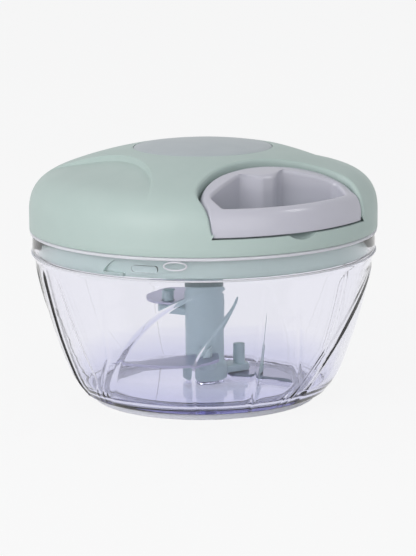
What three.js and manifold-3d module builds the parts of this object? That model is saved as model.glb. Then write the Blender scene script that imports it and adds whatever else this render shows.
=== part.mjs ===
// Pull-cord hand chopper: a clear bowl with three blades on a spindle, and a lid with a ring handle.
// Pulling the handle draws a cord off a spool in the lid, and the spool turns the blades.
// Millimetres, +Z up, origin at the middle of the foot. The handle pulls out along -Y.
import * as THREE from 'three';
import { mergeVertices } from 'three/addons/utils/BufferGeometryUtils.js';
import Module from 'manifold-3d';

const wasm = await Module();
wasm.setup();

// Fits shared by all pieces
const clearance = 0.3;
const runningGap = 0.4;
const overrun = 5;

// Facets of round pieces
const wideSides = 48;
const midSides = 24;
const smallSides = 12;
const screwSides = 8;
const bendSteps = 4;
const finePoints = 6;
const capSteps = 5;
const badgeSteps = 3;
const searchSteps = 24;

// Bowl
const bowlHeight = 62;
const bowlRimRadius = 62.5;
const bowlWall = 2.3;
const bowlFloor = 2.5;
const bowlCornerReach = 5;
const bowlCornerRise = 4;
const bandHeight = 8;
const rimWall = 2.1;
const bossRadius = 5;
const bossHeight = 0.7;
// Radius against height of the bowl's outside, as shares of its rim radius and its height
const bowlCurveShares = [
  [0.694, 0.04], [0.733, 0.081], [0.772, 0.137], [0.818, 0.242],
  [0.884, 0.435], [0.947, 0.677], [0.987, 0.871], [1, 1],
];
// Heights of the rings that the outside is drawn through, as shares of the bowl's height
const bowlRingShares = [
  0.06, 0.085, 0.125, 0.18, 0.26, 0.36, 0.46, 0.56, 0.64, 0.71, 0.76, 0.79, 0.812, 0.85, 0.87,
];

// Swirl relief on the bowl: a leaf between two curved edges, and a straight rib beside it
const leafCount = 4;
const leafDepth = 0.8;
const leafTopShare = 0.811;
const leafTipAngle = -21;
const leafSweepAngle = 62;
const leafBendShare = 0.54;
const leafRoundShare = 0.35;
const veinSweepAngle = 18.3;
const leafTipSpanAngle = 1.5;
const leafEdgeAngle = 0.9;
const leafFallShare = 0.55;
const leafFadeShare = 0.06;
const leafColumnShares = [0, 0.33, 0.67, 1];
const plainColumnShares = [0.14, 0.29, 0.43, 0.57, 0.71, 0.86];
const ribOffsetAngle = 7;
const ribHalfAngle = 1.1;
const ribDepth = 0.5;

// Foot ring
const footHeight = 2.4;
const footInset = 2.4;
const footWidth = 6.5;
const footTongueWidth = 2;
const footTongueHeight = 0.9;

// Bayonet between bowl and lid
const lugCount = 3;
const lugAngle = -52.3;
const lugSpanAngle = 9;
const lugHeight = 2.4;
const lugDepth = 1.1;
const lugDrop = 5.7;
const slotSpanAngle = 15;
const channelSpanAngle = 8.6;
const channelLapAngle = 1;
const slotHeadroom = 2;
const slotFootroom = 0.8;

// Oval mark on the bowl's band
const markAngle = -43.3;
const markDrop = 2.4;
const markLength = 9.3;
const markBreadth = 3.6;
const markLine = 0.7;
const markRelief = 0.35;

// Lid shell
const lidOverhang = 0.5;
const lidHeight = 31.1;
const capRadius = 147;
const shoulderInset = 12;
const lidWallHeight = 6.7;
const shoulderReach = 9;
const shoulderRise = 8;
const lidWall = 2.2;
const lipWall = 0.9;
const lipHeight = 1.6;
const badgeMargin = 6.2;
const badgeThickness = 1.2;

// Thumb scoops at both sides of the lid
const scoopEdge = 31.7;
const scoopRadius = 51.6;
const scoopDepth = 2;
const scoopHalfAngle = 46;
const scoopOuterInset = 5;

// Handle bay
const bayFloorGap = 0.9;
const bayFloorWall = 2.8;
const bayShoulder = 30.5;
const bayRearGap = 5.4;
const bayRearRadius = 84;
const bayCorner = 11;
const notchRadius = 9.6;
const notchDepth = 1.8;
const notchReach = 6;

// Pull handle
const handleGap = 0.6;
const handleFloorGap = 0.5;
const handleDrop = 1.6;
const handleInset = 0.5;
const barThickness = 4.6;
const handleWall = 4.7;
const handleSideWall = 5.1;
const handleSlant = 7.5;
const handleRearShare = 0.37;
const cordBossFrontWall = 2.7;
const cordBossSideWall = 2.8;
const cordBossFlank = 3;

// Cord
const cordRadius = 1;
const cordRise = 5.7;
const cordTurns = 2.5;
const cordPitch = 2.55;
const cordSides = 6;
const cordStepsPerTurn = 20;
const cordBend = 1.8;
const leadSteps = 16;
const windingRadius = 17;
const knotRadius = 2.6;

// Cord guide in the rear wall of the bay
const guidePlay = 0.6;
const guideWall = 1.1;
const guideFlangeLap = 1.3;
const guideFlange = 1;

// Spool
const spoolFlangeLap = 4;
const spoolFlange = 1.2;
const spoolHubWall = 3.1;
const arborRadius = 6;
const arborSlot = 1.4;

// Drive socket and its jaws
const socketRadius = 7;
const socketWall = 1.5;
const socketReach = 15.7;
const socketCavityHeight = 12;
const jawCoreRadius = 2.4;
const jawHeight = 7;
const jawSpanAngle = 76;
const keySides = 6;
const keyShoulder = 1.6;
const keyHeight = 6;

// Axle screw and its washer
const axleRadius = 2;
const axleHeadLap = 1.6;
const axleHead = 2.2;
const axleBossWall = 2.7;
const washerLap = 0.8;
const washerThickness = 0.6;

// Power spring and its chamber
const chamberRadius = 24.4;
const chamberWall = 1.4;
const springHeadroom = 0.7;
const springStrip = 0.6;
const springTurns = 5;
const springStepsPerTurn = 20;
const springCoverThickness = 1.3;
const springCoverLap = 1;
const earOffset = 4;
const coverScrewAngles = [45, 135, 225, 315];

// Lower cover of the lid
const coverDrop = 5;
const coverFloorWall = 2;
const skirtWall = 2.2;
const skirtRise = 2.3;
const bushWall = 2.4;
const padWall = 2.3;
const padHeight = 2.4;
const lidScrewInset = 10.9;
const lidScrewAngles = [90, 200, 340];

// Screws
const screwRadius = 1.25;
const screwHeadLap = 1.35;
const screwHead = 1.6;
const screwBossWall = 1.75;
const coverScrewTipGap = 3.5;
const lidScrewLength = 10;

// Blade spindle
const columnRadius = 7.1;
const hubLap = 1.1;
const hubHeight = 5.5;
const pinRadius = 2;
const pinDrop = 13;
const pinHeadLap = 2;
const pinHead = 1.1;
const pegReach = 15;
const pegRadius = 2.2;
const longPeg = 6.9;
const shortPeg = 5.1;
const armWidth = 7.6;
const armThickness = 3;
const bladeThickness = 0.9;
const bladeFloorGap = 0.7;
// Each blade level: the arm's direction, its height as a share of the column above the lowest arm, its peg,
// whether the blade hangs below the arm, and the blade tip's reach, as a share of the bowl's rim, and its
// sweep back from the arm
const bladeLevels = [
  {
    name: 'lower_blade', angle: -1, riseShare: 0, peg: longPeg, hung: true,
    reachShare: 0.552, sweepAngle: 50,
  },
  {
    name: 'middle_blade', angle: 239, riseShare: 0.194, peg: shortPeg, hung: false,
    reachShare: 0.619, sweepAngle: 60,
  },
  {
    name: 'upper_blade', angle: 119, riseShare: 0.722, peg: shortPeg, hung: false,
    reachShare: 0.592, sweepAngle: 57,
  },
];
const stubRadius = 1.5;
const bladeRootGap = 1;
const bladeRootHalf = 4.6;
const bladeHoleWall = 3.4;
const bladeBellyShare = 0.97;
const bladeBellyAngleShare = 0.14;
const bladeThroatShare = 0.6;
const bladeThroatAngleShare = 0.72;

// Places that follow from the sizes above
const bowlBase = footHeight + clearance;
const floorTop = bowlBase + bowlFloor;
const ledgeHeight = bowlHeight - bandHeight;
const rimInnerRadius = bowlRimRadius - rimWall;
const leafTopHeight = leafTopShare * bowlHeight;
const [[bowlFootShare]] = bowlCurveShares;
const footOuterRadius = bowlFootShare * bowlRimRadius - footInset;
const footInnerRadius = footOuterRadius - footWidth;
const lugBase = bowlHeight - lugDrop;
const slotTop = lugBase + lugHeight + slotHeadroom;
const slotFloor = lugBase - slotFootroom;
const markHeight = bowlHeight - markDrop;
const skirtRadius = rimInnerRadius - clearance;
const skirtInnerRadius = skirtRadius - skirtWall;
const lidRadius = bowlRimRadius + lidOverhang;
const lidBottom = bowlHeight + clearance;
const lidTop = lidBottom + lidHeight;
const wallTop = lidBottom + lidWallHeight;
const shoulderRadius = lidRadius - shoulderInset;
const skirtTop = lidBottom + skirtRise;
const coverFloor = bowlHeight - coverDrop;
const screwHeadRadius = screwRadius + screwHeadLap;
const screwBossRadius = screwRadius + clearance + screwBossWall;
const padRadius = screwHeadRadius + clearance + padWall;
const lidScrewReach = skirtInnerRadius - lidScrewInset;
const bayFloor = skirtTop + bayFloorGap + bayFloorWall;
const bayHalfWidth = lidRadius - bayShoulder;
const bayRear = chamberRadius + chamberWall + bayRearGap;
const bayRearInner = bayRear - lidWall;
const badgeRadius = bayRear - badgeMargin;
const barRadius = lidRadius - handleInset;
const barInnerRadius = barRadius - barThickness;
const handleBottom = bayFloor + handleFloorGap;
const cordHeight = bayFloor + cordRise;
const guideBoreRadius = cordRadius + guidePlay;
const guideBodyRadius = guideBoreRadius + guideWall;
const guideFlangeRadius = guideBodyRadius + guideFlangeLap;
const drumRadius = windingRadius - cordRadius - clearance;
const spoolFlangeRadius = windingRadius + spoolFlangeLap;
const windingBottom = cordHeight - cordTurns * cordPitch;
const drumBottom = windingBottom - cordRadius - clearance;
const spoolBottom = drumBottom - spoolFlange;
const drumTop = cordHeight + cordRadius + clearance;
const spoolTop = drumTop + spoolFlange;
const springCoverRadius = chamberRadius + springCoverLap;
const springCoverBottom = spoolTop + runningGap;
const springCoverTop = springCoverBottom + springCoverThickness;
const chamberBottom = springCoverTop + clearance;
const springBottom = chamberBottom + clearance;
const earReach = chamberRadius + earOffset;
const earRadius = screwBossRadius + clearance;
const axleBoreRadius = axleRadius + clearance;
const axleHeadRadius = axleRadius + axleHeadLap;
const axleBoss = axleBoreRadius + axleBossWall;
const washerRadius = axleHeadRadius + washerLap;
const socketCavityRadius = socketRadius - socketWall;
const socketBottom = coverFloor - socketReach;
const socketTop = spoolBottom - clearance;
const keyRadius = socketRadius - keyShoulder;
const spoolHubRadius = keyRadius + spoolHubWall;
const bushBoreRadius = socketRadius + runningGap;
const bushTop = spoolBottom - runningGap;
const jawTop = socketBottom + jawHeight;
const cavityTop = socketBottom + socketCavityHeight;
const spindleBottom = floorTop + bossHeight + clearance;
const hubRadius = columnRadius + hubLap;
const columnTop = socketBottom - clearance;
const pinTop = columnTop - pinDrop;
const pinHeadRadius = pinRadius + pinHeadLap;
const lowArmTop = floorTop + bladeFloorGap + bladeThickness + clearance + armThickness;
const bladeRootInner = hubRadius + bladeRootGap;

// The outside of the lid: a wide cap, and a shoulder that bends down to the wall
const capHeight = (radius) => lidTop - capRadius + Math.sqrt(capRadius ** 2 - radius ** 2);
const capEdge = new THREE.Vector2(shoulderRadius, capHeight(shoulderRadius));
const capSlope = Math.asin(shoulderRadius / capRadius);
const shoulderCurve = new THREE.CubicBezierCurve(
  new THREE.Vector2(lidRadius, wallTop),
  new THREE.Vector2(lidRadius, wallTop + shoulderRise),
  new THREE.Vector2(Math.cos(capSlope), -Math.sin(capSlope)).multiplyScalar(shoulderReach).add(capEdge),
  capEdge,
);

// The inside of the lid stays a wall below its badge and its scoops
const scoopOuterRadius = lidRadius - scoopOuterInset;
const scoopOuterHeight = findPoint(shoulderCurve, (point) => point.x > scoopOuterRadius).y;
const scoopTop = capHeight(scoopEdge) - scoopDepth;
const insideTop = lidTop - badgeThickness - clearance - lidWall;
const insideHeight = (radius) => THREE.MathUtils.lerp(insideTop, scoopTop - lidWall, radius / scoopEdge);
const springHeight = insideHeight(chamberRadius) - springHeadroom - springBottom;
const arborTop = springBottom + springHeight;
const axleTop = insideTop - clearance;
const coverScrewLength = insideHeight(earReach) - coverScrewTipGap - (springCoverBottom - clearance);

// Round cutters are turned by this much, so that their facets don't fall on those that they cut
const halfFacet = 180 / wideSides;

const degrees = (angle) => THREE.MathUtils.degToRad(angle);
const onPlan = (radius, angle) => new THREE.Vector2(radius * Math.cos(angle), radius * Math.sin(angle));
// Angles on the bowl are counted from the front, -Y, turning towards +X
const fromFront = (angle) => degrees(angle - 90);

// Geometry helpers

// The point of a curve up to which a test holds, found by halving
function findPoint(curve, holds) {
  let [low, high] = [0, 1];
  for (let i = 0; i < searchSteps; i += 1) {
    const middle = (low + high) / 2;
    if (holds(curve.getPoint(middle))) low = middle;
    else high = middle;
  }
  return curve.getPoint(low);
}

function signedVolume(points, triangles) {
  let sum = 0;
  const [a, b, c] = [new THREE.Vector3(), new THREE.Vector3(), new THREE.Vector3()];
  for (let i = 0; i < triangles.length; i += 3) {
    a.fromArray(points, 3 * triangles[i]);
    b.fromArray(points, 3 * triangles[i + 1]);
    c.fromArray(points, 3 * triangles[i + 2]);
    sum += a.dot(b.cross(c));
  }
  return sum;
}

function toSolid(geometry) {
  geometry.deleteAttribute('normal');
  geometry.deleteAttribute('uv');
  const welded = mergeVertices(geometry);
  const vertProperties = new Float32Array(welded.attributes.position.array);
  const kept = [];
  const index = welded.index.array;
  for (let i = 0; i < index.length; i += 3) {
    const [a, b, c] = index.slice(i, i + 3);
    if (a !== b && b !== c && c !== a) kept.push(a, b, c);
  }
  if (signedVolume(vertProperties, kept) < 0) kept.reverse();
  return new wasm.Manifold(new wasm.Mesh({ numProp: 3, vertProperties, triVerts: new Uint32Array(kept) }));
}

function toGeometry(solid) {
  const mesh = solid.getMesh();
  const geometry = new THREE.BufferGeometry();
  geometry.setAttribute('position', new THREE.BufferAttribute(mesh.vertProperties, 3));
  geometry.setIndex(new THREE.BufferAttribute(mesh.triVerts, 1));
  geometry.computeVertexNormals();
  return geometry;
}

// A turned solid from [radius, height] pairs, the outline closed along the axis or on itself
function revolve(outline, sides = midSides) {
  const points = outline.map(([radius, height]) => new THREE.Vector2(radius, height));
  const [first, last] = [points[0], points[points.length - 1]];
  if (first.x !== 0 || last.x !== 0) points.push(first.clone());
  const geometry = new THREE.LatheGeometry(points, sides);
  return toSolid(geometry.rotateX(Math.PI / 2));
}

function disc(radius, low, high, sides = midSides) {
  return revolve([[0, low], [radius, low], [radius, high], [0, high]], sides);
}

function ring(inner, outer, low, high, sides = midSides) {
  return revolve([[inner, low], [outer, low], [outer, high], [inner, high]], sides);
}

function prism(shape, low, high, curveSegments = bendSteps) {
  const options = { depth: high - low, bevelEnabled: false, curveSegments };
  const geometry = new THREE.ExtrudeGeometry(shape, options);
  return toSolid(geometry.translate(0, 0, low));
}

// A piece of a ring between two angles, in radians
function sector(inner, outer, from, to, low, high, steps = bendSteps) {
  const shape = new THREE.Shape();
  shape.absarc(0, 0, outer, from, to, false);
  shape.absarc(0, 0, inner, to, from, true);
  return prism(shape, low, high, steps);
}

function tube(points, radius, sides, steps) {
  const section = new THREE.Shape();
  section.absarc(0, 0, radius, 0, 2 * Math.PI, false);
  const path = new THREE.CurvePath();
  points.slice(1).forEach((point, i) => path.add(new THREE.LineCurve3(points[i], point)));
  const options = { steps, extrudePath: path, curveSegments: sides / 2, bevelEnabled: false };
  return toSolid(new THREE.ExtrudeGeometry(section, options));
}

const union = (solids) => solids.reduce((joined, solid) => joined.add(solid));
const cut = (solid, cutters) => cutters.reduce((left, cutter) => left.subtract(cutter), solid);
const turned = (solid, angle) => solid.rotate([0, 0, angle]);
const moved = (solid, x, y, z) => solid.translate([x, y, z]);

// Outlines that several pieces share

const bowlCurve = new THREE.SplineCurve(
  bowlCurveShares.map(([radius, height]) => new THREE.Vector2(radius * bowlRimRadius, height * bowlHeight)),
);

const bowlRadius = (height) => findPoint(bowlCurve, (point) => point.y < height).x;

// The cap's surface from the axis out to a radius, as [radius, height] pairs
function capOutline(outer, steps, drop = 0) {
  return Array.from({ length: steps + 1 }, (_, i) => {
    const radius = (outer * i) / steps;
    return [radius, capHeight(radius) - drop];
  });
}

// The lid's outside from its wall to the top, as [radius, height] pairs
function domeOutline(bottom, inset = 0, drop = 0) {
  const shoulder = shoulderCurve.getPoints(finePoints).map(({ x, y }) => [x, y]);
  const cap = capOutline(shoulderRadius, capSteps).slice(0, -1).reverse();
  const scale = (lidRadius - inset) / lidRadius;
  const over = [...shoulder, ...cap].map(([radius, height]) => [radius * scale, height - drop]);
  return [[0, bottom], [lidRadius - inset, bottom], ...over];
}

// The plan of the handle bay, drawn in by a margin, open past the lid's front
function bayPlan(margin) {
  const half = bayHalfWidth - margin;
  const rear = -(bayRear + margin);
  const spread = half - bayCorner;
  const centre = rear - bayRearRadius;
  const side = centre + Math.sqrt(bayRearRadius ** 2 - spread ** 2);
  const front = -(lidRadius + overrun);
  const turn = Math.asin(spread / bayRearRadius);
  const shape = new THREE.Shape();
  shape.moveTo(-half, front);
  shape.lineTo(half, front);
  shape.lineTo(half, side - bayCorner);
  shape.quadraticCurveTo(half, side, spread, side);
  shape.absarc(0, centre, bayRearRadius, degrees(90) - turn, degrees(90) + turn, false);
  shape.quadraticCurveTo(-half, side, -half, side - bayCorner);
  shape.closePath();
  return shape;
}

// Bowl and what stays with it

const leafEdge = (rise) => leafTipAngle - leafSweepAngle * (1 - rise ** leafBendShare) ** leafRoundShare;
const veinEdge = (rise) => leafTipAngle + leafTipSpanAngle - veinSweepAngle * (1 - rise ** 2);
const ribEdge = leafTipAngle + ribOffsetAngle;

// One unit of the relief at a height: [angle, depth] pairs from one leaf to the next
function reliefUnit(height) {
  const rise = Math.min(height / leafTopHeight, 1);
  const fade = Math.min(1, (1 - rise) / leafFadeShare);
  const leaf = leafEdge(rise);
  const vein = veinEdge(rise);
  const next = leaf + 360 / leafCount - leafEdgeAngle;
  const blend = (from, to, share) => from + (to - from) * share;
  const unit = [[leaf - leafEdgeAngle, 0]];
  for (const share of leafColumnShares) {
    unit.push([blend(leaf, vein, share), leafDepth * fade * (1 - leafFallShare * share)]);
  }
  unit.push([vein + leafEdgeAngle, 0]);
  unit.push([ribEdge - ribHalfAngle, 0], [ribEdge, ribDepth * fade], [ribEdge + ribHalfAngle, 0]);
  for (const share of plainColumnShares) unit.push([blend(ribEdge + ribHalfAngle, next, share), 0]);
  return unit;
}

function bowlRing(height) {
  const points = [];
  const radius = bowlRadius(height);
  for (let leaf = 0; leaf < leafCount; leaf += 1) {
    for (const [angle, depth] of reliefUnit(height)) {
      const place = onPlan(radius + depth, fromFront(angle + (leaf * 360) / leafCount));
      points.push(new THREE.Vector3(place.x, place.y, height));
    }
  }
  return points;
}

// A closed solid drawn through rings of equally many points, with flat ends
function loft(rings) {
  const count = rings[0].length;
  const points = rings.flat();
  const index = [];
  for (let r = 0; r + 1 < rings.length; r += 1) {
    for (let i = 0; i < count; i += 1) {
      const [a, b] = [r * count + i, r * count + ((i + 1) % count)];
      index.push(a, b, b + count, a, b + count, a + count);
    }
  }
  const ends = [0, rings.length - 1].map((r) => r * count);
  ends.forEach((start, end) => {
    points.push(new THREE.Vector3(0, 0, points[start].z));
    const middle = points.length - 1;
    for (let i = 0; i < count; i += 1) {
      const [a, b] = [start + i, start + ((i + 1) % count)];
      if (end === 0) index.push(middle, b, a);
      else index.push(middle, a, b);
    }
  });
  const geometry = new THREE.BufferGeometry().setFromPoints(points);
  geometry.setIndex(index);
  return toSolid(geometry);
}

function bowlHollow() {
  const corner = bowlRadius(floorTop + bowlCornerRise) - bowlWall;
  const outline = [[0, floorTop], [corner - bowlCornerReach, floorTop]];
  const bend = new THREE.QuadraticBezierCurve(
    new THREE.Vector2(corner - bowlCornerReach, floorTop),
    new THREE.Vector2(bowlRadius(floorTop) - bowlWall, floorTop),
    new THREE.Vector2(corner, floorTop + bowlCornerRise),
  );
  bend.getPoints(bendSteps).slice(1).forEach(({ x, y }) => outline.push([x, y]));
  for (let i = 1; i <= bendSteps; i += 1) {
    const height = THREE.MathUtils.lerp(floorTop + bowlCornerRise, ledgeHeight, i / bendSteps);
    outline.push([bowlRadius(height) - bowlWall, height]);
  }
  const above = bowlHeight + overrun;
  outline.push([rimInnerRadius, ledgeHeight], [rimInnerRadius, above], [0, above]);
  return revolve(outline, wideSides);
}

function lug(index) {
  const middle = fromFront(lugAngle + (index * 360) / lugCount);
  const half = degrees(lugSpanAngle / 2);
  const inner = rimInnerRadius - lugDepth;
  const outer = rimInnerRadius + rimWall / 2;
  return sector(inner, outer, middle - half, middle + half, lugBase, lugBase + lugHeight);
}

// A raised oval line, drawn flat and stood on the band
function ovalMark() {
  const shape = new THREE.Shape();
  shape.absellipse(0, 0, markLength / 2, markBreadth / 2, 0, 2 * Math.PI, false);
  const inside = new THREE.Path();
  inside.absellipse(0, 0, markLength / 2 - markLine, markBreadth / 2 - markLine, 0, 2 * Math.PI, true);
  shape.holes.push(inside);
  const face = bowlRadius(markHeight) + markRelief;
  const standing = prism(shape, face - rimWall, face).rotate([90, 0, 0]);
  return turned(moved(standing, 0, 0, markHeight), markAngle);
}

function makeBowl() {
  const heights = [bowlBase, ...bowlRingShares.map((share) => share * bowlHeight), bowlHeight];
  const outside = loft(heights.map(bowlRing));
  const boss = disc(bossRadius, floorTop - bowlFloor / 2, floorTop + bossHeight, smallSides);
  const lugs = Array.from({ length: lugCount }, (_, index) => lug(index));
  const pinHole = disc(pinRadius + clearance, bowlBase - overrun, floorTop + overrun, smallSides);
  const pocketTop = bowlBase + pinHead + clearance;
  const pinPocket = disc(pinHeadRadius + clearance, bowlBase - overrun, pocketTop, smallSides);
  const tongue = footOuterRadius - (footOuterRadius - footInnerRadius - footTongueWidth) / 2;
  const groove = ring(tongue - footTongueWidth - clearance, tongue + clearance, bowlBase - overrun,
    footHeight + footTongueHeight + clearance, wideSides);
  const body = union([outside.subtract(bowlHollow()), boss, ...lugs, ovalMark()]);
  return cut(body, [pinHole, pinPocket, groove]);
}

function makeFootRing() {
  const tongue = footOuterRadius - (footOuterRadius - footInnerRadius - footTongueWidth) / 2;
  const top = footHeight + footTongueHeight;
  return revolve([
    [footInnerRadius, 0], [footOuterRadius, 0], [footOuterRadius, footHeight], [tongue, footHeight],
    [tongue, top], [tongue - footTongueWidth, top], [tongue - footTongueWidth, footHeight],
    [footInnerRadius, footHeight],
  ], wideSides);
}

function makePivotPin() {
  return revolve([
    [0, bowlBase], [pinHeadRadius, bowlBase], [pinHeadRadius, bowlBase + pinHead],
    [pinRadius, bowlBase + pinHead], [pinRadius, pinTop - pinRadius / 2], [pinRadius / 2, pinTop],
    [0, pinTop],
  ], smallSides);
}

// Blades and their spindle

// Local plan of a blade: the arm lies along +X and the tip sweeps back towards -Y
function bladePlan({ reachShare, sweepAngle }) {
  const reach = reachShare * bowlRimRadius;
  const tip = onPlan(reach, -degrees(sweepAngle));
  const belly = onPlan(reach * bladeBellyShare, -degrees(sweepAngle * bladeBellyAngleShare));
  const throat = onPlan(reach * bladeThroatShare, -degrees(sweepAngle * bladeThroatAngleShare));
  const outer = pegReach + bladeHoleWall;
  const shape = new THREE.Shape();
  shape.moveTo(bladeRootInner, bladeRootHalf);
  shape.lineTo(bladeRootInner, -bladeRootHalf);
  shape.quadraticCurveTo(throat.x, throat.y, tip.x, tip.y);
  shape.quadraticCurveTo(belly.x, belly.y, outer, bladeRootHalf);
  return shape;
}

const armTop = ({ riseShare }) => THREE.MathUtils.lerp(lowArmTop, columnTop, riseShare);

function bladeBottom(level) {
  if (level.hung) return armTop(level) - armThickness - clearance - bladeThickness;
  return armTop(level) + clearance;
}

function makeBlade(level) {
  const holeRadius = (level.hung ? stubRadius : pegRadius) + clearance;
  const shape = bladePlan(level);
  const hole = new THREE.Path();
  hole.absarc(pegReach, 0, holeRadius, 0, 2 * Math.PI, true);
  shape.holes.push(hole);
  const bottom = bladeBottom(level);
  return turned(prism(shape, bottom, bottom + bladeThickness, finePoints), level.angle);
}

function makeArm(level) {
  const top = armTop(level);
  const plan = new THREE.Shape();
  plan.moveTo(pinRadius + columnRadius / 2, -armWidth / 2);
  plan.lineTo(pegReach, -armWidth / 2);
  plan.absarc(pegReach, 0, armWidth / 2, degrees(-90), degrees(90), false);
  plan.lineTo(pinRadius + columnRadius / 2, armWidth / 2);
  const arm = prism(plan, top - armThickness, top);
  const peg = moved(disc(pegRadius, top - armThickness / 2, top + level.peg, smallSides), pegReach, 0, 0);
  const solids = [arm, peg];
  if (level.hung) {
    const stub = disc(stubRadius, bladeBottom(level), top - armThickness / 2, smallSides);
    solids.push(moved(stub, pegReach, 0, 0));
  }
  return turned(union(solids), level.angle);
}

function makeSpindle() {
  const hubTop = spindleBottom + hubHeight;
  const column = revolve([
    [0, spindleBottom], [hubRadius, spindleBottom], [hubRadius, hubTop], [columnRadius, hubTop + hubLap],
    [columnRadius, columnTop], [0, columnTop],
  ]);
  const core = disc(jawCoreRadius, columnTop - jawHeight / 2, jawTop - clearance, smallSides);
  const wingOuter = socketCavityRadius - clearance;
  const half = degrees(jawSpanAngle / 2);
  const wingBottom = columnTop - jawHeight / 2;
  const wing = sector(jawCoreRadius / 2, wingOuter, -half, half, wingBottom, jawTop - clearance);
  const bore = disc(pinRadius + clearance, spindleBottom - overrun, pinTop + clearance, smallSides);
  const body = union([column, core, wing, turned(wing, 180), ...bladeLevels.map(makeArm)]);
  return body.subtract(bore);
}

// Lid

function scoopCutter() {
  const plan = new THREE.Shape();
  const centre = -(scoopEdge + scoopRadius);
  const half = degrees(scoopHalfAngle);
  plan.moveTo(centre, -scoopRadius);
  plan.absarc(centre, 0, scoopRadius, -half, half, false);
  plan.lineTo(centre, scoopRadius);
  const fall = (scoopTop - scoopOuterHeight) / (scoopOuterRadius - scoopEdge);
  const beyond = lidRadius + overrun;
  const floor = revolve([
    [0, wallTop - overrun], [beyond, wallTop - overrun],
    [beyond, scoopOuterHeight - fall * (beyond - scoopOuterRadius)],
    [scoopEdge - overrun, scoopTop + fall * overrun], [0, scoopTop + fall * overrun],
  ], wideSides);
  return prism(plan, wallTop - overrun, lidTop + overrun, finePoints).subtract(turned(floor, halfFacet));
}

// The shell's inside, a wall below both the dome and the floor of the scoops
function insideOutline(bottom, lift = 0) {
  const side = lidRadius - lidWall + lift;
  return [
    [0, bottom], [side, bottom], [side, wallTop + lift],
    [scoopOuterRadius - lidWall + lift, scoopOuterHeight - lidWall + lift],
    [scoopEdge, scoopTop - lidWall + lift],
    [0, insideTop + lift],
  ];
}

function screwBosses(reach, angles, low) {
  const boss = ring(screwRadius + clearance, screwBossRadius, low, lidTop, screwSides);
  return angles.map((angle) => turned(moved(boss, reach, 0, 0), angle));
}

function makeLidShell() {
  const outer = revolve(domeOutline(lidBottom), wideSides);
  const cavity = revolve(insideOutline(lidBottom - overrun), wideSides);
  const bayBlock = prism(bayPlan(-lidWall), bayFloor - bayFloorWall, lidTop + overrun);
  const rabbet = disc(lidRadius - lipWall, lidBottom - overrun, lidBottom + lipHeight, wideSides);
  const axleSeat = ring(axleBoreRadius, axleBoss, arborTop + clearance, lidTop, smallSides);
  const chamber = ring(chamberRadius, chamberRadius + chamberWall, chamberBottom, lidTop, midSides);
  const bosses = [
    ...screwBosses(earReach, coverScrewAngles, chamberBottom),
    ...screwBosses(lidScrewReach, lidScrewAngles, coverFloor + coverFloorWall + padHeight + clearance),
  ];
  // Bosses and rings end half a wall deep inside the shell
  const core = revolve(insideOutline(lidBottom, lidWall / 2), midSides);
  const inner = union([turned(axleSeat, halfFacet), turned(chamber, halfFacet), ...bosses]).intersect(core);
  const bay = prism(bayPlan(0), bayFloor, lidTop + overrun);
  const recess = turned(revolve([
    ...capOutline(badgeRadius + clearance, badgeSteps, badgeThickness + clearance),
    [badgeRadius + clearance, lidTop + overrun], [0, lidTop + overrun],
  ], wideSides), halfFacet);
  const notch = disc(notchRadius, -notchReach, overrun).rotate([90, 0, 0]);
  const notchCut = moved(notch, 0, -lidRadius, bayFloor - notchDepth + notchRadius);
  const guideHole = disc(guideBodyRadius + clearance, 0, bayRear + overrun, smallSides).rotate([90, 0, 0]);
  const shell = union([cut(outer, [cavity.subtract(bayBlock)]), inner]);
  const scoops = [scoopCutter(), turned(scoopCutter(), 180)];
  return cut(shell, [rabbet, bay, recess, notchCut, moved(guideHole, 0, 0, cordHeight), ...scoops]);
}

function makeBadge() {
  const under = capOutline(badgeRadius, badgeSteps, badgeThickness);
  const over = capOutline(badgeRadius, badgeSteps).reverse();
  return turned(revolve([...under, ...over], wideSides), halfFacet);
}

function slotCutters(index) {
  const middle = lugAngle + (index * 360) / lugCount;
  const start = fromFront(middle + slotSpanAngle / 2);
  const end = fromFront(middle - slotSpanAngle / 2);
  const channelEnd = end - degrees(channelSpanAngle);
  const inner = rimInnerRadius - lugDepth - clearance;
  const outer = skirtRadius + overrun;
  const entry = sector(inner, outer, end, start, ledgeHeight - overrun, slotTop);
  const channel = sector(inner, outer, channelEnd, end + degrees(channelLapAngle), slotFloor, slotTop);
  return [entry, channel];
}

function makeLidBase() {
  const floorHigh = coverFloor + coverFloorWall;
  const bushOuter = bushBoreRadius + bushWall;
  const skirtBottom = ledgeHeight + clearance;
  const shell = revolve([
    [bushBoreRadius, coverFloor], [skirtInnerRadius, coverFloor], [skirtInnerRadius, skirtBottom],
    [skirtRadius, skirtBottom], [skirtRadius, skirtTop], [skirtInnerRadius, skirtTop],
    [skirtInnerRadius, floorHigh], [bushOuter, floorHigh], [bushOuter, bushTop], [bushBoreRadius, bushTop],
  ], wideSides);
  const pad = disc(padRadius, coverFloor + coverFloorWall / 2, floorHigh + padHeight, smallSides);
  const pads = lidScrewAngles.map((angle) => turned(moved(pad, lidScrewReach, 0, 0), angle));
  const recessTop = coverFloor + screwHead + 2 * clearance;
  const recess = disc(screwHeadRadius + clearance, coverFloor - overrun, recessTop, screwSides);
  const hole = disc(screwRadius + clearance, coverFloor - overrun, skirtTop + overrun, screwSides);
  const way = moved(union([recess, hole]), lidScrewReach, 0, 0);
  const holes = lidScrewAngles.map((angle) => turned(way, angle));
  const slots = Array.from({ length: lugCount }, (_, index) => slotCutters(index)).flat();
  return cut(union([shell, ...pads]), [...holes, ...slots]);
}

function makeSeal() {
  const inner = skirtRadius + clearance;
  const outer = lidRadius - lipWall - clearance;
  return ring(inner, outer, lidBottom, lidBottom + lipHeight - clearance, wideSides);
}

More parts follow.
